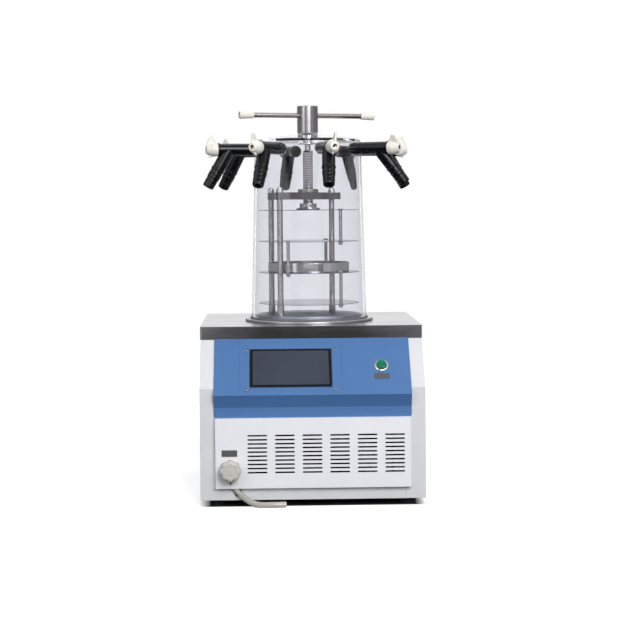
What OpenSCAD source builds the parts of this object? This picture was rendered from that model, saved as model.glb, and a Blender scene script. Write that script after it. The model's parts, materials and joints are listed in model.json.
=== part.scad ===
// Bench-top freeze dryer: a refrigerated cabinet with a cold trap, a clear manifold bell with
// eight flask valves, and a stoppering stand whose shelves are closed by a T-handle and screw.
// Millimetres, +Z up, front towards -Y. The origin is the centre of the footprint, on the bench.

/* [Cabinet] */
// Width of the painted case
case_w = 453; // [430:1:560]
// How far the stainless top plate overhangs the case at each side
plate_over = 0.5; // [0.5:0.5:6]
// Depth of the stainless top plate
plate_d = 400; // [340:1:480]
// Height of the top plate's upper face above the bench
plate_z = 356; // [330:1:430]
// Height of the top plate's folded edge
fold_h = 26.5; // [15:0.5:40]
// Sheet thickness of the case
sheet = 1.5; // [1:0.1:3]
// Height of the rubber feet
foot_h = 13; // [8:1:30]
// Width of the side panels' front flanges
flange_w = 41; // [34:1:50]
// Height of the base pan's front strip
strip_h = 27; // [18:1:40]

/* [Control panel] */
// How far the slanted face runs forward
slant_run = 90; // [60:1:120]
// How far the slanted face drops
slant_drop = 104.5; // [90:0.5:130]
// How far the undercut below the crest steps back
undercut_run = 11; // [4:1:25]
// Height of the undercut
undercut_drop = 25; // [15:1:40]
// Height of the upright blue strip below the undercut
blue_strip = 21; // [10:1:30]
// Width of the case left bare at each side of the blue panel
blue_inset = 28.5; // [20:0.5:33]
// Thickness of the blue panel
blue_t = 2; // [1:0.5:4]
// Touch screen frame width
screen_w = 165; // [120:1:200]
// Touch screen frame height
screen_h = 92; // [60:1:100]
// Touch screen centre, left or right of the case's middle
screen_x = -43; // [-80:1:0]
// Touch screen centre, down the slanted face
screen_s = 74; // [66:1:78]
// Diameter of the power button's cap
button_d = 20; // [14:1:26]
// Travel of the power button
button_travel = 3; // [1:0.5:4]
// Power button centre, right of the case's middle
button_x = 140; // [110:1:165]
// Power button centre, down the slanted face
button_s = 70; // [40:1:80]

/* [Front panel and drain] */
// Width of the case left bare at each side of the white louvred panel
front_inset = 31; // [24:0.5:33]
// How far the white panel stands proud of the case
proud = 10; // [6:1:16]
// Number of slots in a column
slot_rows = 10; // [4:1:12]
// Number of columns of slots
slot_cols = 6; // [2:1:6]
// Length of a slot
slot_l = 39.5; // [20:0.5:44]
// Width of a slot
slot_h = 3.4; // [2:0.1:5]
// Drain knob diameter over its lobes
drain_knob_d = 44; // [30:1:46]
// Drain knob thickness
drain_knob_t = 20; // [12:1:28]
// Drain hose outer diameter
hose_d = 12; // [8:1:12]

/* [Chamber] */
// Distance of the chamber's axis behind the plate's front edge
chamber_back = 180; // [150:1:230]
// Outer radius of the bell at its foot
bell_r = 123; // [122:1:128]
// Outer radius of the bell at its shoulder
bell_top_r = 113.5; // [113:0.5:122]
// Height of the bell's shoulder above the seal
bell_h = 369; // [330:1:420]
// Height of the dome above the shoulder
dome_h = 18; // [10:1:24]
// Wall thickness of the bell
bell_t = 6; // [4:0.5:7]
// Outer radius of the flange ring
ring_r = 137; // [132:1:160]
// Thickness of the flange ring
ring_t = 5; // [3:0.5:8]
// Thickness of the seal ring
seal_t = 4; // [2:0.5:6]
// Radius of the base disc
base_disc_r = 111; // [105:0.5:114]
// Radius of the base disc's centre opening
vapour_r = 16; // [10:1:40]
// Thickness of the base disc
base_disc_t = 9; // [7:1:12]
// Inner radius of the cold trap
trap_r = 100; // [85:1:104]
// Depth of the cold trap
trap_depth = 165; // [130:1:175]

/* [Stoppering stand] */
// Radius of a shelf
shelf_r = 108; // [103:0.5:108.5]
// Thickness of a shelf
shelf_t = 1.2; // [0.8:0.1:2]
// Height of the lowest shelf above the base disc
shelf_z = 23; // [22:1:30]
// Distance from shelf to shelf
shelf_pitch = 66; // [60:1:72]
// Radius of the circle that the rods and the link bolts stand on
rod_circle = 95; // [94:0.5:97]
// Diameter of the rods
rod_d = 12; // [8:0.5:13]
// Width of the bridge bar
bridge_w = 38; // [36:1:46]
// Thickness of the bridge bar
bridge_t = 15; // [10:1:18]
// Gap from the top shelf to the bridge bar
bridge_gap = 22; // [18:1:30]
// Diameter of the press screw
screw_d = 24; // [20:0.5:25]
// Travel of the press screw
press_travel = 40; // [20:1:45]
// Length of the press screw
screw_l = 121; // [110:1:130]
// Diameter of the link bolts
link_d = 7; // [5:0.5:8]
// Radius of the deep dish
dish_r = 87; // [70:1:87]
// Height of the deep dish
dish_h = 20; // [12:1:24]

/* [Handle] */
// Diameter of the hub
hub_d = 44.5; // [34:0.5:50]
// Height of the hub
hub_h = 61; // [50:1:80]
// Length of the T-bar over its caps
bar_l = 306; // [220:2:340]
// Diameter of the T-bar
bar_d = 10.7; // [8:0.1:14]
// Angle that the T-bar is parked at
bar_turn = 19; // [0:1:90]
// Diameter of the white caps
cap_d = 17; // [14:0.5:22]
// Length of the white caps
cap_l = 31; // [20:1:45]
// Diameter of the drive shaft
shaft_d = 12; // [9:0.5:13]

/* [Manifold] */
// Number of flask valves
valve_n = 8; // [2:1:8]
// Angle of the first valve
valve_phase = -77; // [-90:1:-45]
// Height of the valves' axes below the bell's shoulder
valve_drop = 14; // [14:1:18]
// Outer diameter of a valve's tube
valve_d = 26; // [20:0.5:27]
// Distance from the bell's axis to a valve's outer end
valve_reach = 196; // [180:1:220]
// Where a branch leaves its tube, from the bell's axis
branch_at = 171; // [160:1:176]
// Lean of a branch from upright
branch_lean = 31; // [15:1:40]
// Length of a branch from its tube's axis
branch_l = 92; // [75:1:110]
// Diameter of a branch's tip, which takes a flask's neck
tip_d = 25; // [19:0.5:26]
// Length of a valve knob
vknob_l = 25; // [20:1:32]
// Diameter of a valve knob's skirt
vknob_d = 28; // [24:0.5:32]

/* [Hidden] */

$fn = 48;
// Running clearance between moving pieces, and seat clearance between fitted ones
run = 0.3;
seat = 0.3;
// Clearance of a shaft in its bore
shaft_gap = 0.05;
// A cutter's overrun past the face that it cuts
over = 1;

// How far the knob and the port stand out past the top plate
front_reach = slant_run - undercut_run + proud + drain_knob_t + 5;
port_reach = 34;
// Front edge of the top plate, placed so that the footprint is centred on the origin
plate_y = front_reach - (front_reach + plate_d + port_reach) / 2;
rear_y = plate_y + plate_d;
fold_z = plate_z - fold_h;
side_x = case_w / 2;
plate_w = case_w + 2 * plate_over;
blue_w = case_w - 2 * blue_inset;
front_w = case_w - 2 * front_inset;
drain_at = [-front_w / 2 + 30, 76];
axis_y = plate_y + chamber_back;

// The front line from the fold over the crest to the undercut's foot, as [y, z]
crest = [plate_y - slant_run, fold_z - slant_drop];
face_y = crest[0] + undercut_run;
FRONT = [[plate_y, fold_z], crest, [face_y, crest[1] - undercut_drop]];
blue_bottom = FRONT[2][1] - blue_strip;
// The painted sides leave the slant at a knee above the crest and run straight down
knee = [face_y, crest[1] + undercut_run * slant_drop / slant_run];
CHEEK = [FRONT[0], knee, [face_y, foot_h]];
slant_tilt = atan(slant_drop / slant_run);
skin_y = face_y - proud;

function unit(v) = v / norm(v);
function normal(a, b) = let (d = unit(b - a)) [d[1], -d[0]];
// A folded sheet's far corner: the corner b pushed t along the mitre of its two faces
function mitre(a, b, c, t) =
    let (m = unit(normal(a, b) + normal(b, c))) b + m * t / (m * normal(a, b));
function pushed(p, t) =
    let (n = len(p) - 1)
    [for (i = [0:n])
        i == 0 ? p[0] + normal(p[0], p[1]) * t
        : i == n ? p[n] + normal(p[n - 1], p[n]) * t
        : mitre(p[i - 1], p[i], p[i + 1], t)];
function backwards(p) = [for (i = [len(p) - 1:-1:0]) p[i]];
function polar(r, a) = [r * cos(a), r * sin(a)];

// A folded strip: the outline between two lines of [y, z] points, run along X
module folded(line, other, x0, x1) {
    translate([x0, 0, 0])
        rotate([90, 0, 90])
            linear_extrude(x1 - x0)
                polygon(concat(line, backwards(other)));
}

// A box given by its low and high corners
module block(low, high) {
    translate(low) cube(high - low);
}

// A round bar from one height to another, at [x, y]
module post(at, d, z0, z1) {
    translate([at[0], at[1], z0]) cylinder(h = z1 - z0, d = d);
}

// Places children on the slanted face: +Z stands out of it and +Y climbs it
module on_slant(x, s) {
    translate([x, plate_y - s * cos(slant_tilt), fold_z - s * sin(slant_tilt)])
        rotate([slant_tilt, 0, 0])
            children();
}

// Places children on an upright face at y, looking forward: +Z stands out of it
module on_front(x, y, z) {
    translate([x, y, z]) rotate([90, 0, 0]) children();
}

// A round-ended slot's outline, along X
module slot(l, h) {
    square([l - h, h], center = true);
    for (side = [-1, 1])
        translate([side * (l - h) / 2, 0]) circle(d = h, $fn = 24);
}

module slot_grid(cols, rows, pitch_x, pitch_y, l, h) {
    for (c = [0:cols - 1])
        for (r = [0:rows - 1])
            translate([(c - (cols - 1) / 2) * pitch_x, (r - (rows - 1) / 2) * pitch_y])
                slot(l, h);
}

// A pipe of straight runs with ball-shaped elbows along a list of points
module pipe(points, d) {
    for (i = [0:len(points) - 2]) {
        along = points[i + 1] - points[i];
        translate(points[i])
            rotate([0, acos(along[2] / norm(along)), atan2(along[1], along[0])])
                cylinder(h = norm(along), d = d, $fn = 24);
        if (i > 0) translate(points[i]) sphere(d = d + 1, $fn = 24);
    }
}

// Centres of the feet
foot_x = side_x - 34;
foot_ys = [face_y + 34, rear_y - 40];

// ---------------------------------------------------------------- case
pan_y0 = face_y + sheet;
pan_y1 = rear_y - sheet;
pan_x = side_x - sheet;
strip_x = side_x - flange_w;
hose_gap = hose_d + 4;
hose_x = drain_at[0] + 11;
// The notch that the hose comes out through leans with the hose
notch_w = 18;
notch_lean = 13;
notch_z = 7;
slots_x = 26;
slots_z = 107;
slot_pitch_x = 55.1;
slot_pitch_z = 8.24;

module base_pan() {
    color([0.93, 0.93, 0.92])
        difference() {
            union() {
                block([-pan_x, pan_y0, foot_h], [pan_x, pan_y1, foot_h + sheet]);
                block([-strip_x, face_y, foot_h], [strip_x, pan_y0, foot_h + strip_h]);
            }
            on_front(hose_x, pan_y0 + over, foot_h)
                linear_extrude(sheet + 2 * over)
                    polygon([[0, notch_z], [notch_w, notch_z],
                             [notch_w - notch_lean, strip_h + over], [-notch_lean, strip_h + over]]);
            for (x = [-foot_x, foot_x])
                for (y = foot_ys)
                    post([x, y], foot_stud_d + 2 * seat, foot_h - over, foot_h + sheet + over);
        }
}

module side_panel(side) {
    outer = side * side_x;
    inner = side * (side_x - sheet);
    lip = side * strip_x;
    color([0.94, 0.94, 0.93]) {
        folded(pushed(CHEEK, -sheet), [[rear_y - sheet, fold_z], [rear_y - sheet, foot_h]],
               min(inner, outer), max(inner, outer));
        folded(CHEEK, pushed(CHEEK, -sheet), min(lip, outer), max(lip, outer));
    }
}

// Rear connections, as [x, z]
inlet_at = [150, 60];
inlet_w = 48;
inlet_h = 28;
vacuum_z = plate_z - 46;
vacuum_r = 13;
vent_w = 50;

module rear_panel() {
    color([0.92, 0.92, 0.91])
        difference() {
            block([-side_x, rear_y - sheet, foot_h], [side_x, rear_y, fold_z]);
            on_front(0, rear_y + over, vacuum_z - 75)
                linear_extrude(sheet + 2 * over) slot_grid(4, 8, vent_w + 20, 10, vent_w, 4);
            block([inlet_at[0] - inlet_w / 2 - seat, rear_y - sheet - over,
                   inlet_at[1] - inlet_h / 2 - seat],
                  [inlet_at[0] + inlet_w / 2 + seat, rear_y + over,
                   inlet_at[1] + inlet_h / 2 + seat]);
            on_front(0, rear_y + over, vacuum_z)
                cylinder(h = sheet + 2 * over, r = vacuum_r + seat);
        }
}

front_z0 = foot_h + strip_h - 2;
front_z1 = blue_bottom;
drain_boss_d = 24;

module front_panel() {
    color([0.95, 0.95, 0.95])
        difference() {
            block([-front_w / 2, skin_y, front_z0], [front_w / 2, face_y, front_z1]);
            block([-front_w / 2 + sheet, skin_y + sheet, front_z0 + sheet],
                  [front_w / 2 - sheet, face_y + over, front_z1 - sheet]);
            on_front(slots_x, skin_y + sheet + over, slots_z)
                linear_extrude(sheet + 2 * over)
                    slot_grid(slot_cols, slot_rows, slot_pitch_x, slot_pitch_z, slot_l, slot_h);
            on_front(drain_at[0], skin_y + sheet + over, drain_at[1])
                cylinder(h = sheet + 2 * over, d = drain_boss_d + 2 * seat);
            block([hose_x - hose_gap, skin_y + sheet, front_z0 - over],
                  [hose_x + hose_gap, face_y + over, front_z0 + sheet + over]);
        }
}

blue_line = concat(FRONT, [[face_y, blue_bottom]]);
blue_mid = pushed(blue_line, blue_t / 2);
screen_body_w = screen_w - 7;
screen_body_h = screen_h - 8;
screen_body_t = 28;
screen_lip_t = 3;
screen_screw_dx = screen_w / 2 + 6.5;
screen_screw_dy = 49;
screen_screw_s = screen_s + 3.5;
screen_screw_d = 3;
bezel_barrel_d = button_d + 2.6;

module control_panel() {
    color([0.33, 0.50, 0.72])
        difference() {
            union() {
                folded(pushed(blue_line, blue_t), blue_line, -blue_w / 2, blue_w / 2);
                // The crest stands clear of the painted sides, so its ends are closed
                for (x = [-blue_w / 2, blue_w / 2 - blue_t])
                    folded([blue_mid[1], blue_mid[2]], [knee, FRONT[2]], x, x + blue_t);
            }
            on_slant(screen_x, screen_s)
                translate([0, 0, blue_t / 2])
                    cube([screen_body_w + 1, screen_body_h + 1, blue_t + 2 * over], center = true);
            for (x = [-1, 1])
                for (y = [-1, 1])
                    on_slant(screen_x + x * screen_screw_dx, screen_screw_s + y * screen_screw_dy)
                        translate([0, 0, -over])
                            cylinder(h = blue_t + 2 * over, d = screen_screw_d + 0.4);
            on_slant(button_x, button_s)
                translate([0, 0, -over])
                    cylinder(h = blue_t + 2 * over, d = bezel_barrel_d + 2 * seat);
        }
}

module top_plate() {
    color([0.78, 0.78, 0.80])
        difference() {
            block([-plate_w / 2, plate_y, fold_z], [plate_w / 2, rear_y, plate_z]);
            block([-plate_w / 2 + sheet, plate_y + sheet, fold_z - over],
                  [plate_w / 2 - sheet, rear_y - sheet, plate_z - sheet]);
            post([0, axis_y], 2 * (trap_r + trap_t + seat), plate_z - sheet - over, plate_z + over);
        }
}

foot_stud_d = 8;

module feet() {
    color([0.08, 0.08, 0.08])
        for (x = [-foot_x, foot_x])
            for (y = foot_ys) {
                translate([x, y, 0]) cylinder(h = foot_h, d1 = 30, d2 = 36);
                post([x, y], foot_stud_d, foot_h - over, foot_h + 6);
            }
}

// ---------------------------------------------------------------- controls
module touch_screen() {
    color([0.07, 0.07, 0.08])
        on_slant(screen_x, screen_s)
            difference() {
                union() {
                    translate([0, 0, blue_t + screen_lip_t / 2])
                        cube([screen_w, screen_h, screen_lip_t], center = true);
                    translate([0, 0, blue_t - screen_body_t / 2 + over])
                        cube([screen_body_w, screen_body_h, screen_body_t + 2 * over],
                             center = true);
                }
                translate([0, 0, blue_t + screen_lip_t])
                    cube([screen_w - 12, screen_h - 9, 1.6], center = true);
            }
}

module screen_screws() {
    color([0.75, 0.75, 0.77])
        for (x = [-1, 1])
            for (y = [-1, 1])
                on_slant(screen_x + x * screen_screw_dx, screen_screw_s + y * screen_screw_dy) {
                    translate([0, 0, blue_t]) cylinder(h = 1.8, d = 6.4);
                    translate([0, 0, -6]) cylinder(h = 6 + blue_t + over, d = screen_screw_d);
                }
}

bezel_d = button_d + 9;
bezel_h = 3;
bezel_depth = 22;

module button_bezel() {
    color([0.9, 0.9, 0.9])
        on_slant(button_x, button_s)
            difference() {
                union() {
                    translate([0, 0, blue_t]) cylinder(h = bezel_h, d1 = bezel_d, d2 = bezel_d - 3);
                    translate([0, 0, blue_t - bezel_depth])
                        cylinder(h = bezel_depth + over, d = bezel_barrel_d);
                }
                translate([0, 0, blue_t - bezel_depth + 2])
                    cylinder(h = bezel_depth + bezel_h, d = button_d + 2 * run);
            }
}

cap_bottom = button_travel + run;
cap_proud = 6;

module button_cap() {
    color([0.10, 0.62, 0.30])
        on_slant(button_x, button_s)
            translate([0, 0, blue_t - bezel_depth + 2 + cap_bottom])
                cylinder(h = bezel_depth + bezel_h - cap_bottom - 2 + cap_proud, d = button_d);
}

label_w = 31;
label_h = 13;
label_t = 0.8;
button_label_s = button_s + 25;
drain_label_z = drain_at[1] + 33;

module label_plates() {
    color([0.45, 0.45, 0.46]) {
        on_slant(button_x, button_label_s)
            translate([0, 0, blue_t + label_t / 2])
                cube([label_w, label_h, label_t], center = true);
        on_front(drain_at[0] - 2, skin_y, drain_label_z)
            translate([0, 0, label_t / 2]) cube([label_w, label_h, label_t], center = true);
    }
}

// ---------------------------------------------------------------- drain
drain_body_l = 40;
drain_stem_d = 10;
drain_stem_l = drain_knob_t - 4;
drain_plate_t = 3;
drain_spout_z = 62;
drain_pipe_d = 10;
trap_drain = [-30, axis_y - 30];
hose_y = face_y - 1;
knob_back = skin_y - drain_plate_t - 2;

module drain_valve() {
    color([0.12, 0.12, 0.13]) {
        on_front(drain_at[0], skin_y, drain_at[1])
            linear_extrude(drain_plate_t) {
                circle(r = drain_boss_d / 2 + 3);
                polygon([[-13, -8], [13, -8], [0, -31]]);
            }
        on_front(drain_at[0], skin_y + drain_body_l, drain_at[1])
            cylinder(h = drain_body_l + over, d = drain_boss_d);
        on_front(drain_at[0], skin_y - drain_plate_t + over, drain_at[1])
            cylinder(h = drain_stem_l, d = drain_stem_d);
        post([drain_at[0], hose_y], hose_d - 2, drain_spout_z, drain_at[1]);
        pipe([[drain_at[0], skin_y + drain_body_l - over, drain_at[1]],
              [drain_at[0], trap_drain[1], drain_at[1]], concat(trap_drain, drain_at[1]),
              concat(trap_drain, trap_z0)], drain_pipe_d);
    }
}

knob_lobes = 8;
lobe_r = 7;

module drain_knob() {
    color([0.93, 0.93, 0.92])
        on_front(drain_at[0], knob_back, drain_at[1])
            difference() {
                union() {
                    cylinder(h = drain_knob_t, d = drain_knob_d - 4);
                    for (i = [0:knob_lobes - 1])
                        rotate(i * 360 / knob_lobes)
                            translate([drain_knob_d / 2 - lobe_r, 0, 0])
                                cylinder(h = drain_knob_t - 2, r = lobe_r);
                }
                translate([0, 0, -over])
                    cylinder(h = drain_stem_l - 1, d = drain_stem_d + 2 * shaft_gap);
            }
}

// The drain hose's route from the spout: down behind the white panel's foot, out over the strip
// and along the bench
HOSE = [[0, 0, 0], [0, 0, -8], [2, 0, -15], [6, 0, -21], [11, -1, -28], [18, -4, -35],
        [26, -8, -42], [36, -12, -49], [48, -15, -54], [60, -17, -56], [73, -18, -56],
        [86, -18, -56], [98, -17, -56], [110, -15, -56]];
hose_sides = 12;

function cross3(a, b) = [a[1] * b[2] - a[2] * b[1], a[2] * b[0] - a[0] * b[2],
                         a[0] * b[1] - a[1] * b[0]];
function tangent(p, i) = unit(p[min(i + 1, len(p) - 1)] - p[max(i - 1, 0)]);
// A ring of points round the route, square to it, started from the same side each time
function hose_ring(p, i, r, n) =
    let (t = tangent(p, i), u = unit(cross3(t, [0, 1, 0])), v = cross3(t, u))
    [for (k = [0:n - 1]) p[i] + r * (cos(360 * k / n) * u + sin(360 * k / n) * v)];

module tube(p, d, n) {
    last = (len(p) - 1) * n;
    points = [for (i = [0:len(p) - 1]) each hose_ring(p, i, d / 2, n)];
    walls = [for (i = [0:len(p) - 2]) for (k = [0:n - 1])
        [i * n + k, i * n + (k + 1) % n, (i + 1) * n + (k + 1) % n, (i + 1) * n + k]];
    near_end = [for (k = [n - 1:-1:0]) k];
    far_end = [for (k = [0:n - 1]) last + k];
    polyhedron(points, concat(walls, [near_end, far_end]));
}

module drain_hose() {
    color([0.85, 0.82, 0.74])
        translate([drain_at[0], hose_y, drain_spout_z]) tube(HOSE, hose_d, hose_sides);
}

// ---------------------------------------------------------------- cold side
trap_t = 1.5;
trap_lip_r = trap_r + 12;
trap_z0 = plate_z - trap_depth;
coil_d = 8;
coil_turns = 6;
coil_pitch = 16;
coil_r = trap_r + trap_t + seat + coil_d / 2;
coil_z0 = trap_z0 + 12;
coil_angles = [135, 225];
foam_t = 24;
foam_r = coil_r + coil_d / 2 + foam_t;
foam_z0 = trap_z0 - foam_t;
foam_z1 = plate_z - sheet - seat;
vacuum_bore_r = vacuum_r - 2;

// A cutter or pipe along +Y from the chamber's axis line, at the vacuum pipe's height
module along_vacuum(y0, y1, r) {
    translate([0, y0, vacuum_z]) rotate([-90, 0, 0]) cylinder(h = y1 - y0, r = r);
}

module cold_trap() {
    color([0.74, 0.74, 0.76])
        difference() {
            union() {
                post([0, axis_y], 2 * (trap_r + trap_t), trap_z0, plate_z);
                post([0, axis_y], 2 * trap_lip_r, plate_z, plate_z + trap_t);
            }
            post([0, axis_y], 2 * trap_r, trap_z0 + trap_t, plate_z + trap_t + over);
            post(trap_drain, drain_pipe_d - 2, trap_z0 - over, trap_z0 + 2 * trap_t);
            along_vacuum(axis_y, axis_y + trap_r + trap_t + over, vacuum_bore_r);
        }
}

module trap_coil() {
    color([0.72, 0.45, 0.28])
        translate([0, axis_y, 0]) {
            for (i = [0:coil_turns - 1])
                translate([0, 0, coil_z0 + i * coil_pitch])
                    rotate_extrude() translate([coil_r, 0]) circle(d = coil_d, $fn = 24);
            for (a = coil_angles)
                post(polar(coil_r, a), coil_d - 1, foam_z0,
                     coil_z0 + (coil_turns - 1) * coil_pitch);
        }
}

module trap_insulation() {
    color([0.92, 0.88, 0.72])
        difference() {
            post([0, axis_y], 2 * foam_r, foam_z0, foam_z1);
            post([0, axis_y], 2 * (coil_r + coil_d / 2 + seat), coil_z0 - coil_d, foam_z1 + over);
            post([0, axis_y], 2 * (trap_r + trap_t + seat), trap_z0 - seat, coil_z0);
            translate([0, axis_y, 0])
                for (a = coil_angles)
                    post(polar(coil_r, a), coil_d, foam_z0 - over, coil_z0);
            post(trap_drain, drain_pipe_d + 2 * seat, foam_z0 - over, trap_z0);
            along_vacuum(axis_y, axis_y + foam_r + over, vacuum_r + seat);
        }
}

// ---------------------------------------------------------------- machinery
comp_at = [-95, 120];
comp_d = 130;
comp_foot_h = 12;
comp_z0 = foot_h + sheet + comp_foot_h;
comp_h = 112;
comp_base_t = 8;
comp_round = 26;

module compressor() {
    top = comp_h - comp_round;
    edge = comp_d / 2 - comp_round;
    color([0.10, 0.10, 0.11])
        translate([comp_at[0], comp_at[1], comp_z0]) {
            rotate_extrude()
                polygon(concat([[0, comp_base_t], [comp_d / 2, comp_base_t]],
                               [for (a = [0:15:90])
                                   [edge + comp_round * cos(a), top + comp_round * sin(a)]],
                               [[0, comp_h]]));
            block([-comp_d / 2 - 8, -20, 0], [comp_d / 2 + 8, 20, comp_base_t + over]);
            for (x = [-1, 1])
                for (y = [-1, 1])
                    post([x * comp_d / 2, y * 12], 14, -comp_foot_h, 0);
        }
}

cond_w = 270;
cond_h = 120;
cond_t = 36;
cond_y0 = face_y + 14;
cond_z0 = foot_h + sheet;
cond_end_t = 3;
cond_rows = 6;
cond_row_0 = 14;
cond_row_pitch = (cond_h - 2 * cond_row_0) / (cond_rows - 1);
cond_stub = 6;
fin_pitch = 9;
pipe_d = 8;

module condenser() {
    color([0.66, 0.67, 0.68])
        translate([slots_x - cond_w / 2, cond_y0, cond_z0]) {
            for (x = [0, cond_w - cond_end_t])
                translate([x, 0, 0]) cube([cond_end_t, cond_t, cond_h]);
            for (x = [fin_pitch:fin_pitch:cond_w - fin_pitch])
                translate([x, 2, 2]) cube([1, cond_t - 4, cond_h - 4]);
            for (row = [0:cond_rows - 1])
                translate([-cond_stub, cond_t / 2, cond_row_0 + row * cond_row_pitch])
                    rotate([0, 90, 0]) cylinder(h = cond_w + 2 * cond_stub, d = pipe_d);
            for (row = [0:cond_rows - 2])
                translate([row % 2 == 0 ? cond_w + 2 : -2, cond_t / 2,
                           cond_row_0 + row * cond_row_pitch])
                    cylinder(h = cond_row_pitch, d = pipe_d);
        }
}

fan_y = cond_y0 + cond_t + 12;
fan_z = cond_z0 + cond_h / 2;
fan_r = 56;
fan_depth = 14;
fan_n = 5;
fan_hub_d = 34;
fan_shaft_d = 6;
motor_d = 56;
motor_l = 46;
motor_y = fan_y + fan_depth + 4;

module fan_motor() {
    color([0.25, 0.25, 0.27]) {
        on_front(slots_x, motor_y + motor_l, fan_z) cylinder(h = motor_l, d = motor_d);
        on_front(slots_x, motor_y + over, fan_z)
            cylinder(h = fan_depth + 2 * over, d = fan_shaft_d);
        block([slots_x - 20, motor_y + 8, cond_z0], [slots_x + 20, motor_y + 38, cond_z0 + 3]);
        block([slots_x - 12, motor_y + 14, cond_z0], [slots_x + 12, motor_y + 32, fan_z]);
    }
}

module fan_blades() {
    color([0.14, 0.14, 0.15])
        on_front(slots_x, fan_y + fan_depth, fan_z)
            difference() {
                union() {
                    cylinder(h = fan_depth, d = fan_hub_d);
                    for (i = [0:fan_n - 1])
                        rotate(i * 360 / fan_n)
                            translate([fan_hub_d / 2 - 3, 0, fan_depth / 2])
                                rotate([28, 0, 0])
                                    translate([0, -11, -1])
                                        cube([fan_r - fan_hub_d / 2 + 2, 22, 2]);
                }
                translate([0, 0, -over])
                    cylinder(h = fan_depth - 1, d = fan_shaft_d + 2 * shaft_gap);
            }
}

suction = polar(coil_r, coil_angles[0]) + [0, axis_y];
supply = polar(coil_r, coil_angles[1]) + [0, axis_y];
comp_top = comp_z0 + comp_h;
discharge = comp_at + [-36, -8];
pipe_z = comp_top + 16;
pipe_x = -190;
cond_tube_y = cond_y0 + cond_t / 2;
cond_end_x = slots_x - cond_w / 2 - cond_stub;
cond_in_z = cond_z0 + cond_h - cond_row_0;
cond_out_z = cond_z0 + cond_row_0;

module refrigerant_pipes() {
    color([0.72, 0.45, 0.28]) {
        pipe([concat(suction, foam_z0), concat(suction, comp_top)], pipe_d);
        pipe([concat(discharge, comp_top), concat(discharge, pipe_z),
              [pipe_x, discharge[1], pipe_z], [pipe_x, cond_tube_y, pipe_z],
              [pipe_x, cond_tube_y, cond_in_z], [cond_end_x, cond_tube_y, cond_in_z]], pipe_d);
        pipe([[cond_end_x, cond_tube_y, cond_out_z], [cond_end_x - 30, cond_tube_y, cond_out_z],
              [cond_end_x - 30, supply[1], cond_out_z], concat(supply, cond_out_z),
              concat(supply, foam_z0)], pipe_d);
        post(supply, 22, cond_out_z + 16, cond_out_z + 96);
    }
}

board_y0 = axis_y;
board_z0 = 170;

module control_board() {
    color([0.12, 0.35, 0.22])
        translate([side_x - sheet, board_y0, board_z0]) {
            for (y = [8, 142])
                for (z = [8, 102])
                    translate([-8, y, z]) rotate([0, 90, 0]) cylinder(h = 8, d = 6, $fn = 24);
            translate([-10, 0, 0]) cube([2, 150, 110]);
            translate([-42, 14, 12]) cube([33, 46, 40]);
            translate([-26, 78, 14]) cube([17, 20, 26]);
            translate([-26, 106, 14]) cube([17, 20, 26]);
            for (y = [30, 60])
                translate([-34, y, 80]) rotate([0, 90, 0]) cylinder(h = 25, d = 18, $fn = 32);
        }
}

inlet_flange_t = 3;

module power_inlet() {
    color([0.10, 0.10, 0.10])
        difference() {
            union() {
                block([inlet_at[0] - inlet_w / 2, rear_y - 24, inlet_at[1] - inlet_h / 2],
                      [inlet_at[0] + inlet_w / 2, rear_y + inlet_flange_t,
                       inlet_at[1] + inlet_h / 2]);
                block([inlet_at[0] - inlet_w / 2 - 9, rear_y, inlet_at[1] - inlet_h / 2 - 3],
                      [inlet_at[0] + inlet_w / 2 + 9, rear_y + inlet_flange_t,
                       inlet_at[1] + inlet_h / 2 + 3]);
            }
            difference() {
                block([inlet_at[0] - 12.5, rear_y - 17, inlet_at[1] - 8.5],
                      [inlet_at[0] + 12.5, rear_y + inlet_flange_t + over, inlet_at[1] + 8.5]);
                for (p = [[-7, -3], [0, 3], [7, -3]])
                    block([inlet_at[0] + p[0] - 1, rear_y - 18, inlet_at[1] + p[1] - 2],
                          [inlet_at[0] + p[0] + 1, rear_y - 4, inlet_at[1] + p[1] + 2]);
            }
        }
}

port_flange_r = 20;
port_flange_t = 4;

module vacuum_port() {
    color([0.76, 0.76, 0.78])
        difference() {
            union() {
                along_vacuum(axis_y + trap_r * 0.9, rear_y + port_reach, vacuum_r);
                along_vacuum(rear_y + port_reach - port_flange_t, rear_y + port_reach,
                             port_flange_r);
                along_vacuum(rear_y, rear_y + 3, port_flange_r + 6);
            }
            along_vacuum(axis_y, rear_y + port_reach + over, vacuum_bore_r);
            post([0, axis_y], 2 * (trap_r + trap_t), vacuum_z - 2 * vacuum_r,
                 vacuum_z + 2 * vacuum_r);
        }
}

// ---------------------------------------------------------------- chamber
ring_z = plate_z + ring_t;
bell_z = ring_z + seal_t;
disc_z = ring_z + base_disc_t;
ring_bore_r = trap_r + 4;
seal_w = 12;
seal_r0 = bell_r - bell_t / 2 - seal_w / 2;

module chamber_ring() {
    color([0.72, 0.72, 0.74])
        difference() {
            translate([0, axis_y, plate_z]) {
                cylinder(h = ring_t, r = ring_r - 1.5);
                translate([0, 0, 1]) cylinder(h = ring_t - 2, r = ring_r);
            }
            post([0, axis_y], 2 * ring_bore_r, plate_z - over, ring_z + over);
            post([0, axis_y], 2 * (trap_lip_r + seat), plate_z - over, plate_z + trap_t + seat);
        }
}

module bell_seal() {
    color([0.05, 0.05, 0.06])
        difference() {
            post([0, axis_y], 2 * (seal_r0 + seal_w), ring_z, bell_z);
            post([0, axis_y], 2 * seal_r0, ring_z - over, bell_z + over);
        }
}

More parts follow.
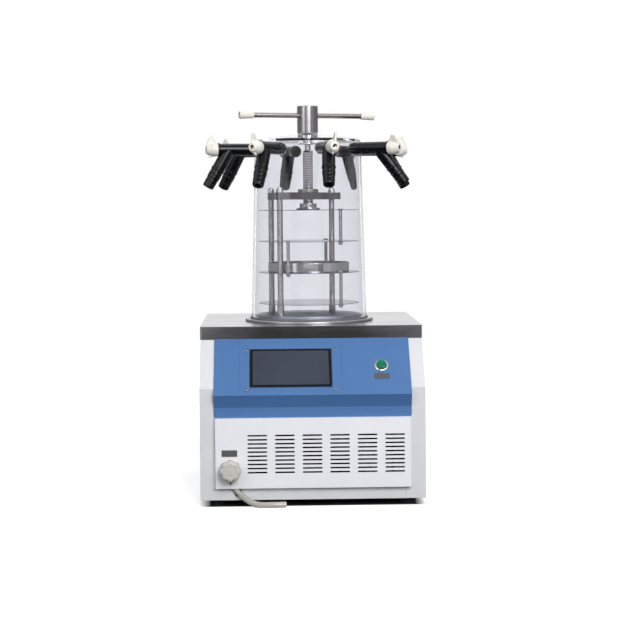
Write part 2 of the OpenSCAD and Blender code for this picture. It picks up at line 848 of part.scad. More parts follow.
module base_disc() {
    color([0.55, 0.57, 0.60])
        difference() {
            translate([0, axis_y, ring_z]) {
                cylinder(h = base_disc_t - 1, r = base_disc_r);
                translate([0, 0, 1]) cylinder(h = base_disc_t - 1, r = base_disc_r - 1);
            }
            post([0, axis_y], 2 * vapour_r, ring_z - over, disc_z + over);
            for (a = ROD_ANGLES)
                post(polar(rod_circle, a) + [0, axis_y], stud_d + 2 * stud_gap,
                     disc_z - stud_l - seat, disc_z + over);
        }
}

shoulder_r = 8;
dome_edge = bell_top_r - shoulder_r;
dome_end = 79;
dome_drop = dome_h - shoulder_r;
gland_r = 10;

function dome_z(r) = bell_h + dome_h - dome_drop * pow(r / dome_edge, 2);
// The bell's outline from its foot to the gland, at a depth inside the outer face
function bell_line(inset) = concat(
    [[bell_r - inset, 0]],
    [for (a = [0:dome_end / 5:dome_end])
        [dome_edge + (shoulder_r - inset) * cos(a), bell_h + (shoulder_r - inset) * sin(a)]],
    [for (r = [dome_edge * 0.9:-(dome_edge * 0.9 - gland_r) / 6:gland_r]) [r, dome_z(r) - inset]]);
dome_top = bell_z + dome_z(gland_r);
valve_z = bell_z + bell_h - valve_drop;
VALVE_ANGLES = [for (i = [0:valve_n - 1]) valve_phase + i * 360 / valve_n];

module bell() {
    color([0.86, 0.87, 0.92, 0.35])
        translate([0, axis_y, bell_z])
            difference() {
                rotate_extrude($fn = 96)
                    polygon(concat([[gland_r, dome_z(gland_r) - bell_t]],
                                   [[gland_r, dome_z(gland_r)]],
                                   backwards(bell_line(0)), bell_line(bell_t)));
                for (a = VALVE_ANGLES)
                    rotate([0, 90, a])
                        translate([-(valve_z - bell_z), 0, dome_edge - 12])
                            cylinder(h = bell_r, d = valve_d + 0.2);
            }
}

gland_washer_r = 19.5;
gland_nut_r = 13;
gland_under = bell_z + dome_z(gland_washer_r) - bell_t - seat;

module gland() {
    color([0.70, 0.70, 0.72])
        translate([0, axis_y, 0])
            difference() {
                union() {
                    post([0, 0], 2 * gland_washer_r, gland_under - 2.3, gland_under);
                    post([0, 0], 2 * gland_nut_r, gland_under - 10.5, gland_under);
                    post([0, 0], 2 * (gland_r - 0.1), gland_under - 1, dome_top);
                }
                post([0, 0], shaft_d + 2 * shaft_gap, gland_under - 12, dome_top + over);
            }
}

// ---------------------------------------------------------------- stoppering stand
ROD_ANGLES = [56, 147, 230];
LINKS_WIDE = [-46, 131];
LINKS_DEEP = [242, 65];
stud_d = 8;
stud_l = base_disc_t - 2;
stud_gap = 0.1;
rod_hole = rod_d + 1.2;
link_hole = link_d + 0.8;
link_nut_d = link_d + 4;
link_nut_h = 4;
link_head_h = 2.5;
foot_disc_h = 4.5;
foot_collar_h = 9;
foot_disc_d = 51;
foot_collar_d = 36.5;

// Underside of a shelf, counted 1 to 4 from the top
function shelf_under(i) = disc_z + shelf_z + (4 - i) * shelf_pitch;
function shelf_over(i) = shelf_under(i) + shelf_t;
// Angles of the link bolts that hang from a shelf
function links_below(i) = i == 2 ? LINKS_DEEP : LINKS_WIDE;
foot_top_z = shelf_over(1) + foot_disc_h;
bridge_z = shelf_over(1) + bridge_gap;
nut_body_d = bridge_w - 8;
nut_flange_d = 44;
nut_flange_h = 7;
arm_w = 24;
arm_end_r = 7.5;
acorn_d = 15;
acorn_h = 6.5;
stud_top = 8;
screw_z0 = foot_top_z + seat;
screw_top = screw_z0 + screw_l;
screw_bore_l = press_travel + 32;
shaft_z0 = screw_top - screw_bore_l + 2;
key_w = 4;
key_r = shaft_d / 2 + 2;

module support_rods() {
    color([0.70, 0.70, 0.72])
        translate([0, axis_y, 0])
            for (a = ROD_ANGLES) {
                post(polar(rod_circle, a), rod_d, disc_z, bridge_z);
                post(polar(rod_circle, a), stud_d, disc_z - stud_l, disc_z + over);
                post(polar(rod_circle, a), stud_d, bridge_z - over, bridge_z + bridge_t + stud_top);
            }
}

module rod_spacers() {
    color([0.09, 0.09, 0.10])
        translate([0, axis_y, 0])
            for (a = ROD_ANGLES)
                difference() {
                    post(polar(rod_circle, a), rod_d + 2.4, disc_z, shelf_under(4));
                    post(polar(rod_circle, a), rod_d + 0.2, disc_z - over, shelf_under(4) + over);
                }
}

module acorn_nuts() {
    color([0.80, 0.80, 0.82])
        translate([0, axis_y, bridge_z + bridge_t])
            for (a = ROD_ANGLES)
                translate(polar(rod_circle, a))
                    difference() {
                        union() {
                            cylinder(h = acorn_h, d = acorn_d, $fn = 6);
                            translate([0, 0, acorn_h - 1])
                                intersection() {
                                    sphere(d = acorn_d - 2.6);
                                    cylinder(h = acorn_d, d = acorn_d);
                                }
                        }
                        translate([0, 0, -over])
                            cylinder(h = stud_top + 2 * over, d = stud_d + 2 * stud_gap);
                    }
}

// The bar spans two rods, which stand in notches open at its ends, and an arm reaches the third
module bridge_bar() {
    bar_end = rod_circle + arm_end_r;
    notch_r = stud_d / 2 + stud_gap;
    color([0.55, 0.55, 0.57])
        translate([0, axis_y, bridge_z])
            difference() {
                union() {
                    rotate(ROD_ANGLES[0])
                        block([-bar_end, -bridge_w / 2, 0], [bar_end, bridge_w / 2, bridge_t]);
                    rotate(ROD_ANGLES[1])
                        linear_extrude(bridge_t) {
                            polygon([[0, -arm_w / 2], [rod_circle, -arm_end_r],
                                     [rod_circle, arm_end_r], [0, arm_w / 2]]);
                            translate([rod_circle, 0]) circle(r = arm_end_r);
                        }
                }
                post([0, 0], nut_body_d + 2 * stud_gap, -over, bridge_t + over);
                for (a = ROD_ANGLES) post(polar(rod_circle, a), 2 * notch_r, -over, bridge_t + over);
                for (a = [ROD_ANGLES[0], ROD_ANGLES[2]])
                    translate(polar(rod_circle, a))
                        rotate(a == ROD_ANGLES[0] ? a : ROD_ANGLES[0] + 180)
                            block([0, -stud_d / 2, -over], [bar_end, stud_d / 2, bridge_t + over]);
            }
}

module screw_nut() {
    color([0.62, 0.60, 0.52])
        translate([0, axis_y, bridge_z])
            difference() {
                union() {
                    post([0, 0], nut_body_d, 0, bridge_t + over);
                    post([0, 0], nut_flange_d, bridge_t, bridge_t + nut_flange_h);
                }
                post([0, 0], screw_d + 2 * shaft_gap, -over, bridge_t + nut_flange_h + over);
            }
}

module press_screw() {
    color([0.68, 0.68, 0.70])
        translate([0, axis_y, 0])
            difference() {
                post([0, 0], screw_d, screw_z0, screw_top);
                post([0, 0], shaft_d + 2 * run, screw_top - screw_bore_l, screw_top + over);
                block([0, -key_w / 2 - run, screw_top - screw_bore_l],
                      [key_r + run, key_w / 2 + run, screw_top + over]);
            }
}

module press_foot() {
    color([0.74, 0.74, 0.76])
        translate([0, axis_y, shelf_over(1)])
            difference() {
                union() {
                    cylinder(h = foot_disc_h, d = foot_disc_d);
                    cylinder(h = foot_disc_h + foot_collar_h, d = foot_collar_d);
                }
                translate([0, 0, foot_disc_h])
                    cylinder(h = foot_collar_h + over, d = screw_d + 2 * run);
            }
}

// A shelf holds the links that hang from it and slides on those of the shelf above
module shelf(i) {
    fixed = i == 4 ? [] : links_below(i);
    sliding = i == 1 ? [] : links_below(i - 1);
    color([0.78, 0.78, 0.80])
        translate([0, axis_y, shelf_under(i)])
            difference() {
                cylinder(h = shelf_t, r = shelf_r, $fn = 96);
                for (a = ROD_ANGLES) post(polar(rod_circle, a), rod_hole, -over, shelf_t + over);
                for (a = fixed) post(polar(rod_circle, a), link_d + 0.2, -over, shelf_t + over);
                for (a = sliding) post(polar(rod_circle, a), link_hole, -over, shelf_t + over);
            }
}

module shelf_links(i) {
    nut_top = shelf_under(i + 1) - seat;
    color([0.72, 0.72, 0.74])
        translate([0, axis_y, 0])
            for (a = links_below(i)) {
                post(polar(rod_circle, a), link_d, nut_top - link_nut_h - 3, shelf_over(i) + over);
                post(polar(rod_circle, a), link_nut_d - 1, shelf_over(i),
                     shelf_over(i) + link_head_h);
                post(polar(rod_circle, a), link_nut_d, nut_top - link_nut_h, nut_top);
            }
}

dish_t = 1.5;

module shelf_dish() {
    color([0.62, 0.62, 0.63])
        difference() {
            post([0, axis_y], 2 * dish_r, shelf_over(3), shelf_over(3) + dish_h);
            post([0, axis_y], 2 * (dish_r - dish_t), shelf_over(3) + dish_t,
                 shelf_over(3) + dish_h + over);
        }
}

// ---------------------------------------------------------------- handle
hub_z = dome_top + run;
bar_drop = 20.5;
bar_z = hub_z + hub_h - bar_drop;
cap_floor = 4;
bar_half = bar_l / 2 - cap_floor;
hub_socket = 30;

module handle_hub() {
    color([0.66, 0.66, 0.67])
        translate([0, axis_y, hub_z])
            difference() {
                union() {
                    cylinder(h = 4, d1 = hub_d - 5, d2 = hub_d);
                    translate([0, 0, 4]) cylinder(h = hub_h - 5.5, d = hub_d);
                    translate([0, 0, hub_h - 1.5]) cylinder(h = 1.5, d1 = hub_d, d2 = hub_d - 3);
                }
                translate([0, 0, -over]) cylinder(h = hub_socket + over, d = shaft_d + 2 * shaft_gap);
                rotate([0, 90, bar_turn])
                    translate([-(bar_z - hub_z), 0, -hub_d])
                        cylinder(h = 2 * hub_d, d = bar_d + 0.1);
            }
}

module t_bar() {
    color([0.76, 0.76, 0.78])
        translate([0, axis_y, bar_z])
            rotate([0, 90, bar_turn])
                translate([0, 0, -bar_half])
                    cylinder(h = 2 * bar_half, d = bar_d);
}

module bar_caps() {
    color([0.95, 0.95, 0.94])
        translate([0, axis_y, bar_z])
            for (end = [0, 180])
                rotate([0, 90, bar_turn + end])
                    translate([0, 0, bar_l / 2 - cap_l])
                        difference() {
                            union() {
                                cylinder(h = cap_l - 2, d1 = cap_d - 3, d2 = cap_d);
                                translate([0, 0, cap_l - 2]) cylinder(h = 2, d1 = cap_d, d2 = cap_d - 3);
                            }
                            translate([0, 0, -over])
                                cylinder(h = cap_l - cap_floor + over, d = bar_d + 0.1);
                        }
}

module drive_shaft() {
    color([0.72, 0.72, 0.74])
        translate([0, axis_y, 0]) {
            post([0, 0], shaft_d, shaft_z0, hub_z + hub_socket);
            block([0, -key_w / 2, shaft_z0], [key_r, key_w / 2, screw_top - 10]);
        }
}

// ---------------------------------------------------------------- manifold
valve_in_r = bell_top_r - bell_t - 3.5;
valve_bore = 14;
lip_t = 3;
neck_d = valve_d + 1;
neck_l = branch_l - 44;
tip_l = 22;

// How far each valve is turned in its hole, which swings its branch aside
VALVE_TWISTS = [-9, 22, 0, 0, 0, 0, 0, 8.5];

// Places children at a valve: +Z runs out along its tube and -X is up
module at_valve(a, twist = 0) {
    translate([0, axis_y, valve_z]) rotate([0, 90, a]) rotate([0, 0, twist]) children();
}

module valve_body(a, twist) {
    at_valve(a, twist)
        difference() {
            union() {
                translate([0, 0, valve_in_r]) cylinder(h = valve_reach - valve_in_r, d = valve_d);
                translate([0, 0, valve_reach - lip_t]) cylinder(h = lip_t, d = valve_d + 3);
                translate([0, 0, branch_at])
                    rotate([0, 90 - branch_lean, 0]) {
                        cylinder(h = neck_l, d = neck_d);
                        post([0, 0], neck_d + 2, neck_l, neck_l + lip_t);
                        post([0, 0], neck_d, neck_l + lip_t - over, branch_l - tip_l);
                        cylinder(h = branch_l, d = tip_d);
                    }
            }
            post([0, 0], valve_bore, valve_in_r - over, valve_reach + over);
            translate([0, 0, branch_at])
                rotate([0, 90 - branch_lean, 0]) cylinder(h = branch_l + over, d = valve_bore);
        }
}

module valve_bodies() {
    color([0.04, 0.04, 0.05])
        for (i = [0:valve_n - 1]) valve_body(VALVE_ANGLES[i], VALVE_TWISTS[i]);
}

plug_l = valve_reach - branch_at + 8;
plug_port_d = 9;
vknob_skirt = vknob_l * 0.45;
vknob_face_d = vknob_d - 10;
wing_t = 4;
wing_top = vknob_d / 2 + 16;
vent_l = 8;

// The wing that shows which way the plug is turned: a pointer above, a small heel below
module vknob_wing() {
    side = vknob_d / 2;
    translate([0, wing_t / 2, 0])
        rotate([90, 0, 0])
            linear_extrude(wing_t)
                polygon([[0, 2], [-side, 2], [-wing_top + 4, 9], [-wing_top, 14],
                         [-wing_top + 3, 18], [-vknob_face_d / 2, vknob_l], [0, vknob_l],
                         [side + 3, vknob_l - 8], [side, 6]]);
}

module valve_knob(i) {
    color([0.94, 0.94, 0.92])
        at_valve(VALVE_ANGLES[i - 1], VALVE_TWISTS[i - 1])
            translate([0, 0, valve_reach + run])
                difference() {
                    union() {
                        cylinder(h = vknob_skirt, d = vknob_d);
                        translate([0, 0, vknob_skirt])
                            cylinder(h = vknob_l - vknob_skirt, d1 = vknob_d, d2 = vknob_face_d);
                        vknob_wing();
                        post([0, 0], valve_bore - 2 * shaft_gap, -plug_l, over);
                    }
                    post([0, 0], plug_port_d, vknob_l - vent_l, vknob_l + over);
                    post([0, 0], plug_port_d, -plug_l - over, branch_at - valve_reach);
                    translate([0, 0, branch_at - valve_reach])
                        rotate([0, 90, 0]) cylinder(h = valve_bore, d = plug_port_d);
                }
}

base_pan();
side_panel(-1);  // side_panel_left
side_panel(1);  // side_panel_right
rear_panel();
front_panel();
control_panel();
top_plate();
feet();
touch_screen();
screen_screws();
button_bezel();
button_cap();
label_plates();
drain_valve();
drain_knob();
drain_hose();
cold_trap();
trap_coil();
trap_insulation();
chamber_ring();
bell_seal();
base_disc();
compressor();
condenser();
fan_motor();
fan_blades();
refrigerant_pipes();
control_board();
power_inlet();
vacuum_port();
bell();
gland();
handle_hub();
t_bar();
bar_caps();
drive_shaft();
press_screw();
screw_nut();
bridge_bar();
acorn_nuts();
support_rods();
rod_spacers();
press_foot();
shelf_dish();
valve_bodies();
for (i = [1:4])
    shelf(i);
for (i = [1:3])
    shelf_links(i);
for (i = [1:valve_n])
    valve_knob(i);
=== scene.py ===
import json
import math

import bmesh
import bpy
from mathutils import Matrix, Vector

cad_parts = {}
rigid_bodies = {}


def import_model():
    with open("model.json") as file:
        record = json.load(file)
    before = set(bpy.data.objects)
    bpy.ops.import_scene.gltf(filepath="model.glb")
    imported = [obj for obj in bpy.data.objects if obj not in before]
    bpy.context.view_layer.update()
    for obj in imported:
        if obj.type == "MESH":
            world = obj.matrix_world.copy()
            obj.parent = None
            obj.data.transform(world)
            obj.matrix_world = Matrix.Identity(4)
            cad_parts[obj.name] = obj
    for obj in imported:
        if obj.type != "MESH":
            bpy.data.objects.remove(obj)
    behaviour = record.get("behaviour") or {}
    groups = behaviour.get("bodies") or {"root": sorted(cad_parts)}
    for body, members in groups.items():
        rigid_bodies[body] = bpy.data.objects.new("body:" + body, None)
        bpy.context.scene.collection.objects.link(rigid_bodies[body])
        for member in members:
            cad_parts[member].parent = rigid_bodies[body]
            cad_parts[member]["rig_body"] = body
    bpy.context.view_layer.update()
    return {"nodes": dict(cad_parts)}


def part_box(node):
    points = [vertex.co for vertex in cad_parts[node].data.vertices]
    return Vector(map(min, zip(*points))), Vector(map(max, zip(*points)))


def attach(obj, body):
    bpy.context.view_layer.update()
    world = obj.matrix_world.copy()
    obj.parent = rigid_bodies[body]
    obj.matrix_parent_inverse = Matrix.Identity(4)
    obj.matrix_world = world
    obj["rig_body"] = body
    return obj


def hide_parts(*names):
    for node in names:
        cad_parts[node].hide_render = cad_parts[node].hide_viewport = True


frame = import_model()
MM = 0.001
SLOT = {name: obj.material_slots[0].material.name for name, obj in frame["nodes"].items()}


# ---------------------------------------------------------------- places in the frame
def low(node):
    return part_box(node)[0]


def high(node):
    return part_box(node)[1]


def height_of(node):
    """A CAD node's height in millimetres."""
    return (high(node).z - low(node).z) / MM


AXIS = ((low("chamber_ring") + high("chamber_ring")) / 2).xy
CENTRE = (AXIS.x, AXIS.y, 0)
PLATE_Z = high("top_plate").z
RING_Z = high("chamber_ring").z
BELL_Z = low("bell").z
DISC_Z = high("base_disc").z
BRIDGE_Z, BRIDGE_TOP = low("bridge_bar").z, high("bridge_bar").z
# Sizes and places that no CAD node gives by itself. Angles are in degrees, the headings among them
# round Z. An S is a distance down the slanted face.
BRIDGE_TURN, BAR_TURN = 56, 19
PRESS_R, PRESS_LEAD, THREAD_DEPTH = 12 * MM, 5 * MM, 3 * MM
ROD_CIRCLE = 95 * MM
ROD_ANGLES, LINKS_WIDE, LINKS_DEEP = [56, 147, 230], [-46, 131], [242, 65]
VALVE_COUNT, VALVE_PHASE = 8, -77
VALVE_TWISTS = [-9, 22, 0, 0, 0, 0, 0, 8.5]
VALVE_Z = BELL_Z + 355 * MM
KNOB_SEAT = 196.3 * MM
SLANT_RISE, SLANT_RUN = 104.5, 90
SLANT_TILT = math.atan2(SLANT_RISE, SLANT_RUN)
SLANT_TOP = Vector((0, low("top_plate").y, low("top_plate").z))
SCREEN_X, SCREEN_S, SCREEN_W, SCREEN_H = -43 * MM, 74 * MM, 165 * MM, 92 * MM
BUTTON_X, BUTTON_S = 140 * MM, 70 * MM
DRAIN_X, DRAIN_Z = -165.5 * MM, 76 * MM


def shift(x, y, z):
    return Matrix.Translation((x, y, z))


def turn(degrees, axis):
    return Matrix.Rotation(math.radians(degrees), 4, axis)


def on_slant(x, s):
    """A place on the slanted face: x across and s down it, with +Z out of it and +Y up it."""
    at = SLANT_TOP + Vector((0, -math.cos(SLANT_TILT), -math.sin(SLANT_TILT))) * s
    return shift(x, at.y, at.z) @ Matrix.Rotation(SLANT_TILT, 4, "X")


def on_axis(z):
    return shift(AXIS.x, AXIS.y, z)


def at_valve(i):
    """A valve's place: +Z runs out along its tube and -X is up, but for its own twist."""
    spin = turn(VALVE_PHASE + i * 360 / VALVE_COUNT, "Z")
    return on_axis(VALVE_Z) @ spin @ turn(90, "Y") @ turn(VALVE_TWISTS[i], "Z")


# ---------------------------------------------------------------- shader helpers
FLOAT, COLOUR, VECTOR = "NodeSocketFloat", "NodeSocketColor", "NodeSocketVector"
GEOMETRY, MATERIAL = "NodeSocketGeometry", "NodeSocketMaterial"


def srgb(red, green, blue):
    """A colour written as display values from 0 to 255, as linear values."""
    shares = [v / 255 for v in (red, green, blue)]
    return tuple(s / 12.92 if s <= 0.04045 else ((s + 0.055) / 1.055) ** 2.4
                 for s in shares) + (1.0,)


def grey(value):
    """A plain grey from 0 to 1, already linear."""
    return (value, value, value, 1)


def feed(tree, socket, value):
    """Gives a socket a value, or wires another node's output to it."""
    if isinstance(value, bpy.types.NodeSocket):
        tree.links.new(value, socket)
    else:
        socket.default_value = value


def add_node(tree, kind, inputs=None, **settings):
    """Adds a node and feeds its inputs."""
    node = tree.nodes.new(kind)
    for key, value in settings.items():
        setattr(node, key, value)
    for key, value in (inputs or {}).items():
        feed(tree, node.inputs[key], value)
    return node


def maths(tree, operation, first, second=0.0, clamp=False):
    return add_node(tree, "ShaderNodeMath", {0: first, 1: second}, operation=operation,
                    use_clamp=clamp).outputs[0]


def plus(tree, first, second, clamp=False):
    return maths(tree, "ADD", first, second, clamp)


def minus(tree, first, second, clamp=False):
    return maths(tree, "SUBTRACT", first, second, clamp)


def times(tree, first, second, clamp=False):
    return maths(tree, "MULTIPLY", first, second, clamp)


def larger(tree, first, second):
    return maths(tree, "MAXIMUM", first, second)


def absolute(tree, value):
    return maths(tree, "ABSOLUTE", value)


def around_half(tree, value, amount):
    """A noise between 0 and 1 as a drift to both sides of nothing."""
    return times(tree, minus(tree, value, 0.5), amount)


def vector_maths(tree, operation, first, second, output=0):
    return add_node(tree, "ShaderNodeVectorMath", {0: first, 1: second},
                    operation=operation).outputs[output]


def split(tree, vector):
    return add_node(tree, "ShaderNodeSeparateXYZ", {0: vector}).outputs


def combined(tree, x, y, z):
    return add_node(tree, "ShaderNodeCombineXYZ", {"X": x, "Y": y, "Z": z}).outputs[0]


def radius_of(tree, parts):
    """A vector's distance from the Z axis."""
    return maths(tree, "SQRT", plus(tree, times(tree, parts[0], parts[0]),
                                    times(tree, parts[1], parts[1])))


def ranged(tree, value, source, result):
    """A value mapped from one range to another, and held inside it."""
    return add_node(tree, "ShaderNodeMapRange",
                    {"Value": value, "From Min": source[0], "From Max": source[1],
                     "To Min": result[0], "To Max": result[1]}).outputs["Result"]


def tinted(tree, factor, first, second, blend="MIX"):
    node = add_node(tree, "ShaderNodeMix", data_type="RGBA", blend_type=blend)
    for key, value in (("Factor_Float", factor), ("A_Color", first), ("B_Color", second)):
        feed(tree, next(s for s in node.inputs if s.identifier == key), value)
    return next(s for s in node.outputs if s.identifier == "Result_Color")


def noise(tree, vector, scale, detail=2.0, roughness=0.5):
    return add_node(tree, "ShaderNodeTexNoise",
                    {"Vector": vector, "Scale": scale, "Detail": detail,
                     "Roughness": roughness}, noise_dimensions="3D").outputs["Fac"]


def new_tree(name, kind, inputs, outputs):
    """An empty node group with named sockets, given as (name, kind, value) and (name, kind)."""
    tree = bpy.data.node_groups.new(name, kind)
    for label, sort, value in inputs:
        socket = tree.interface.new_socket(label, in_out="INPUT", socket_type=sort)
        if value is not None:
            socket.default_value = value
    for label, sort in outputs:
        tree.interface.new_socket(label, in_out="OUTPUT", socket_type=sort)
    return tree, tree.nodes.new("NodeGroupInput").outputs, tree.nodes.new("NodeGroupOutput")


def put_out(tree, out, **values):
    """Wires a group's named outputs."""
    for key, value in values.items():
        tree.links.new(value, out.inputs[key])
    return tree


def skin_tree(name, tone, **inputs):
    """An empty shader group that takes a place, a tone and named numbers."""
    numbers = [(key.replace("_", " "), FLOAT, value) for key, value in inputs.items()]
    return new_tree(name, "ShaderNodeTree",
                    [("Vector", VECTOR, None), ("Tone", COLOUR, tone), *numbers],
                    [("Color", COLOUR), ("Roughness", FLOAT), ("Height", FLOAT)])


def darkened(tree, given, shade, marks, source, amount, most=1.0):
    """The group's tone, multiplied by a shade as far as the marks and the amount say."""
    dark = tinted(tree, 1.0, given["Tone"], shade, "MULTIPLY")
    share = times(tree, ranged(tree, marks, source, (0.0, most)), given[amount], True)
    return tinted(tree, share, given["Tone"], dark)


def sprayed_group():
    """A sprayed or moulded skin: fine peel, slow drift of tone and uneven gloss."""
    tree, given, out = skin_tree("Sprayed skin", grey(0.8), Grain=900.0, Drift=0.05, Gloss=0.4,
                                 Gloss_Drift=0.08)
    peel = noise(tree, given["Vector"], given["Grain"], detail=3.0)
    slow = noise(tree, given["Vector"], 9.0, detail=3.0, roughness=0.6)
    patch = noise(tree, given["Vector"], 46.0, detail=4.0, roughness=0.55)
    tone = darkened(tree, given, (0.82, 0.82, 0.84, 1), slow, (0.35, 0.65), "Drift", most=4.0)
    spread = around_half(tree, patch, given["Gloss Drift"])
    return put_out(tree, out, Color=tone, Roughness=plus(tree, given["Gloss"], spread, True),
                   Height=peel)


def brushed_group():
    """Brushed sheet: long fine scratches along X of the vector, with slow clouding."""
    tree, given, out = skin_tree("Brushed grain", grey(0.6), Contrast=0.2, Gloss=0.3,
                                 Fineness=1.0)
    fine = vector_maths(tree, "MULTIPLY", given["Vector"], (14, 900, 900))
    scratches = noise(tree, fine, given["Fineness"], detail=3.0, roughness=0.7)
    coarse = vector_maths(tree, "MULTIPLY", given["Vector"], (5, 120, 120))
    wide = noise(tree, coarse, 1.0)
    cloud = noise(tree, given["Vector"], 12.0, detail=3.0)
    both = plus(tree, times(tree, scratches, 0.6), times(tree, wide, 0.4))
    tone = darkened(tree, given, (0.55, 0.55, 0.57, 1), both, (0.3, 0.7), "Contrast")
    rough = plus(tree, given["Gloss"], around_half(tree, cloud, 0.12))
    rough = plus(tree, rough, around_half(tree, both, 0.25), True)
    return put_out(tree, out, Color=tone, Roughness=rough, Height=both)


def turned_group():
    """Lathe marks: fine rings round Z of the vector, on flats and on sides."""
    tree, given, out = skin_tree("Turned rings", grey(0.6), Contrast=0.2, Gloss=0.25,
                                 Pitch=1500.0)
    parts = split(tree, given["Vector"])
    path = combined(tree, times(tree, radius_of(tree, parts), given["Pitch"]),
                    times(tree, parts[2], given["Pitch"]), 0.0)
    rings = noise(tree, path, 1.0, detail=3.0, roughness=0.65)
    cloud = noise(tree, given["Vector"], 30.0, detail=3.0)
    tone = darkened(tree, given, (0.6, 0.59, 0.6, 1), rings, (0.35, 0.65), "Contrast")
    uneven = plus(tree, around_half(tree, rings, 0.2), around_half(tree, cloud, 0.1))
    rough = larger(tree, plus(tree, given["Gloss"], uneven), 0.03)
    return put_out(tree, out, Color=tone, Roughness=rough, Height=rings)


def wear_group():
    """Where a finish has rubbed thin: raised edges, broken up by noise."""
    tree, given, out = new_tree(
        "Rubbed edges", "ShaderNodeTree",
        [("Vector", VECTOR, None), ("Tone", COLOUR, grey(0.5)), ("Bare", COLOUR, grey(0.7)),
         ("Amount", FLOAT, 0.5)],
        [("Color", COLOUR), ("Mask", FLOAT)])
    raised = tree.nodes.new("ShaderNodeNewGeometry").outputs["Pointiness"]
    edge = ranged(tree, raised, (0.52, 0.6), (0.0, 1.0))
    scuffs = noise(tree, given["Vector"], 160.0, detail=4.0, roughness=0.7)
    broken = ranged(tree, scuffs, (0.4, 0.62), (0.2, 1.0))
    mask = times(tree, times(tree, edge, broken), given["Amount"], True)
    return put_out(tree, out, Color=tinted(tree, mask, given["Tone"], given["Bare"]), Mask=mask)


GROUPS = {"sprayed": sprayed_group(), "brushed": brushed_group(), "turned": turned_group(),
          "wear": wear_group()}


# ---------------------------------------------------------------- finishes
PEEL, SCRATCH = 0.04 * MM, 0.02 * MM


def new_finish(name):
    """A new material with its tree, its shader and its Object coordinates."""
    material = bpy.data.materials.new(name)
    material.use_nodes = True
    tree = material.node_tree
    where = add_node(tree, "ShaderNodeTexCoord").outputs["Object"]
    return material, tree, tree.nodes["Principled BSDF"], where


def use_group(tree, group, inputs):
    node = tree.nodes.new("ShaderNodeGroup")
    node.node_tree = GROUPS[group]
    for key, value in inputs.items():
        feed(tree, node.inputs[key], value)
    return node.outputs


def embossed(tree, shader, height, distance):
    """Relief from a height, with its depth in metres."""
    bump = add_node(tree, "ShaderNodeBump", {"Height": height, "Distance": distance})
    tree.links.new(bump.outputs["Normal"], shader.inputs["Normal"])


def dressed(tree, shader, skin, colour=None, bump=0.0, **values):
    """Wires a skin to a shader and sets its other sockets; underscores stand for spaces."""
    tree.links.new(colour or skin["Color"], shader.inputs["Base Color"])
    tree.links.new(skin["Roughness"], shader.inputs["Roughness"])
    if bump:
        embossed(tree, shader, skin["Height"], bump)
    for key, value in values.items():
        shader.inputs[key.replace("_", " ")].default_value = value


def spray_skin(tree, where, tone, gloss, grain, drift, gloss_drift):
    return use_group(tree, "sprayed", {"Vector": where, "Tone": tone, "Grain": grain,
                                       "Drift": drift, "Gloss": gloss,
                                       "Gloss Drift": gloss_drift})


def rubbed(tree, where, colour, bare, amount):
    """A colour with its raised edges rubbed to the bare one; an amount of 0 leaves it alone."""
    if not amount:
        return colour
    return use_group(tree, "wear", {"Vector": where, "Tone": colour, "Bare": bare,
                                    "Amount": amount})["Color"]


def sprayed(name, tone, gloss, grain, drift, gloss_drift=0.08, bump=PEEL, worn=0.0, bare=None,
            **values):
    """A finish with a sprayed or moulded skin."""
    material, tree, shader, where = new_finish(name)
    skin = spray_skin(tree, where, tone, gloss, grain, drift, gloss_drift)
    colour = rubbed(tree, where, skin["Color"], bare, worn)
    dressed(tree, shader, skin, colour, bump, **values)
    return material


def placed_vector(tree, where, location=(0, 0, 0), degrees=0):
    """Object coordinates from a place, turned about Z."""
    moved = vector_maths(tree, "SUBTRACT", where, location)
    if not degrees:
        return moved
    return add_node(tree, "ShaderNodeMapping",
                    {"Vector": moved, "Rotation": (0, 0, math.radians(degrees))},
                    vector_type="POINT").outputs[0]


def metal(name, tone, gloss, marks, contrast, location=(0, 0, 0), degrees=0, worn=0.0, **values):
    """A bare metal finish with lathe or brush marks."""
    material, tree, shader, where = new_finish(name)
    skin = use_group(tree, marks, {"Vector": placed_vector(tree, where, location, degrees),
                                   "Tone": tone, "Contrast": contrast, "Gloss": gloss})
    colour = rubbed(tree, where, skin["Color"], grey(0.8), worn)
    dressed(tree, shader, skin, colour, SCRATCH, Metallic=1.0, **values)
    return material


def brushed(name, tone, gloss, contrast, **settings):
    return metal(name, tone, gloss, "brushed", contrast, **settings)


def lathed(name, tone, gloss, contrast, **settings):
    """A metal with lathe marks round the chamber's axis."""
    return metal(name, tone, gloss, "turned", contrast, location=CENTRE, **settings)


def case_coat():
    """White powder coat, with painted shade: the faces that look into the cabinet are near black.
    """
    material, tree, shader, where = new_finish("White powder coat")
    skin = spray_skin(tree, where, srgb(225, 226, 229), 0.5, 1100.0, 0.06, 0.08)
    centre = (low("base_pan") + high("rear_panel")) / 2
    outward = vector_maths(tree, "SUBTRACT", where, (0, centre.y, centre.z))
    normal = tree.nodes.new("ShaderNodeNewGeometry").outputs["Normal"]
    facing = vector_maths(tree, "DOT_PRODUCT", outward, normal, "Value")
    # Painted shade: faces whose normal points at the cabinet's middle are coloured near black.
    inside = maths(tree, "LESS_THAN", facing, 0.0)
    dressed(tree, shader, skin, tinted(tree, inside, skin["Color"], srgb(26, 26, 28)), PEEL)
    return material


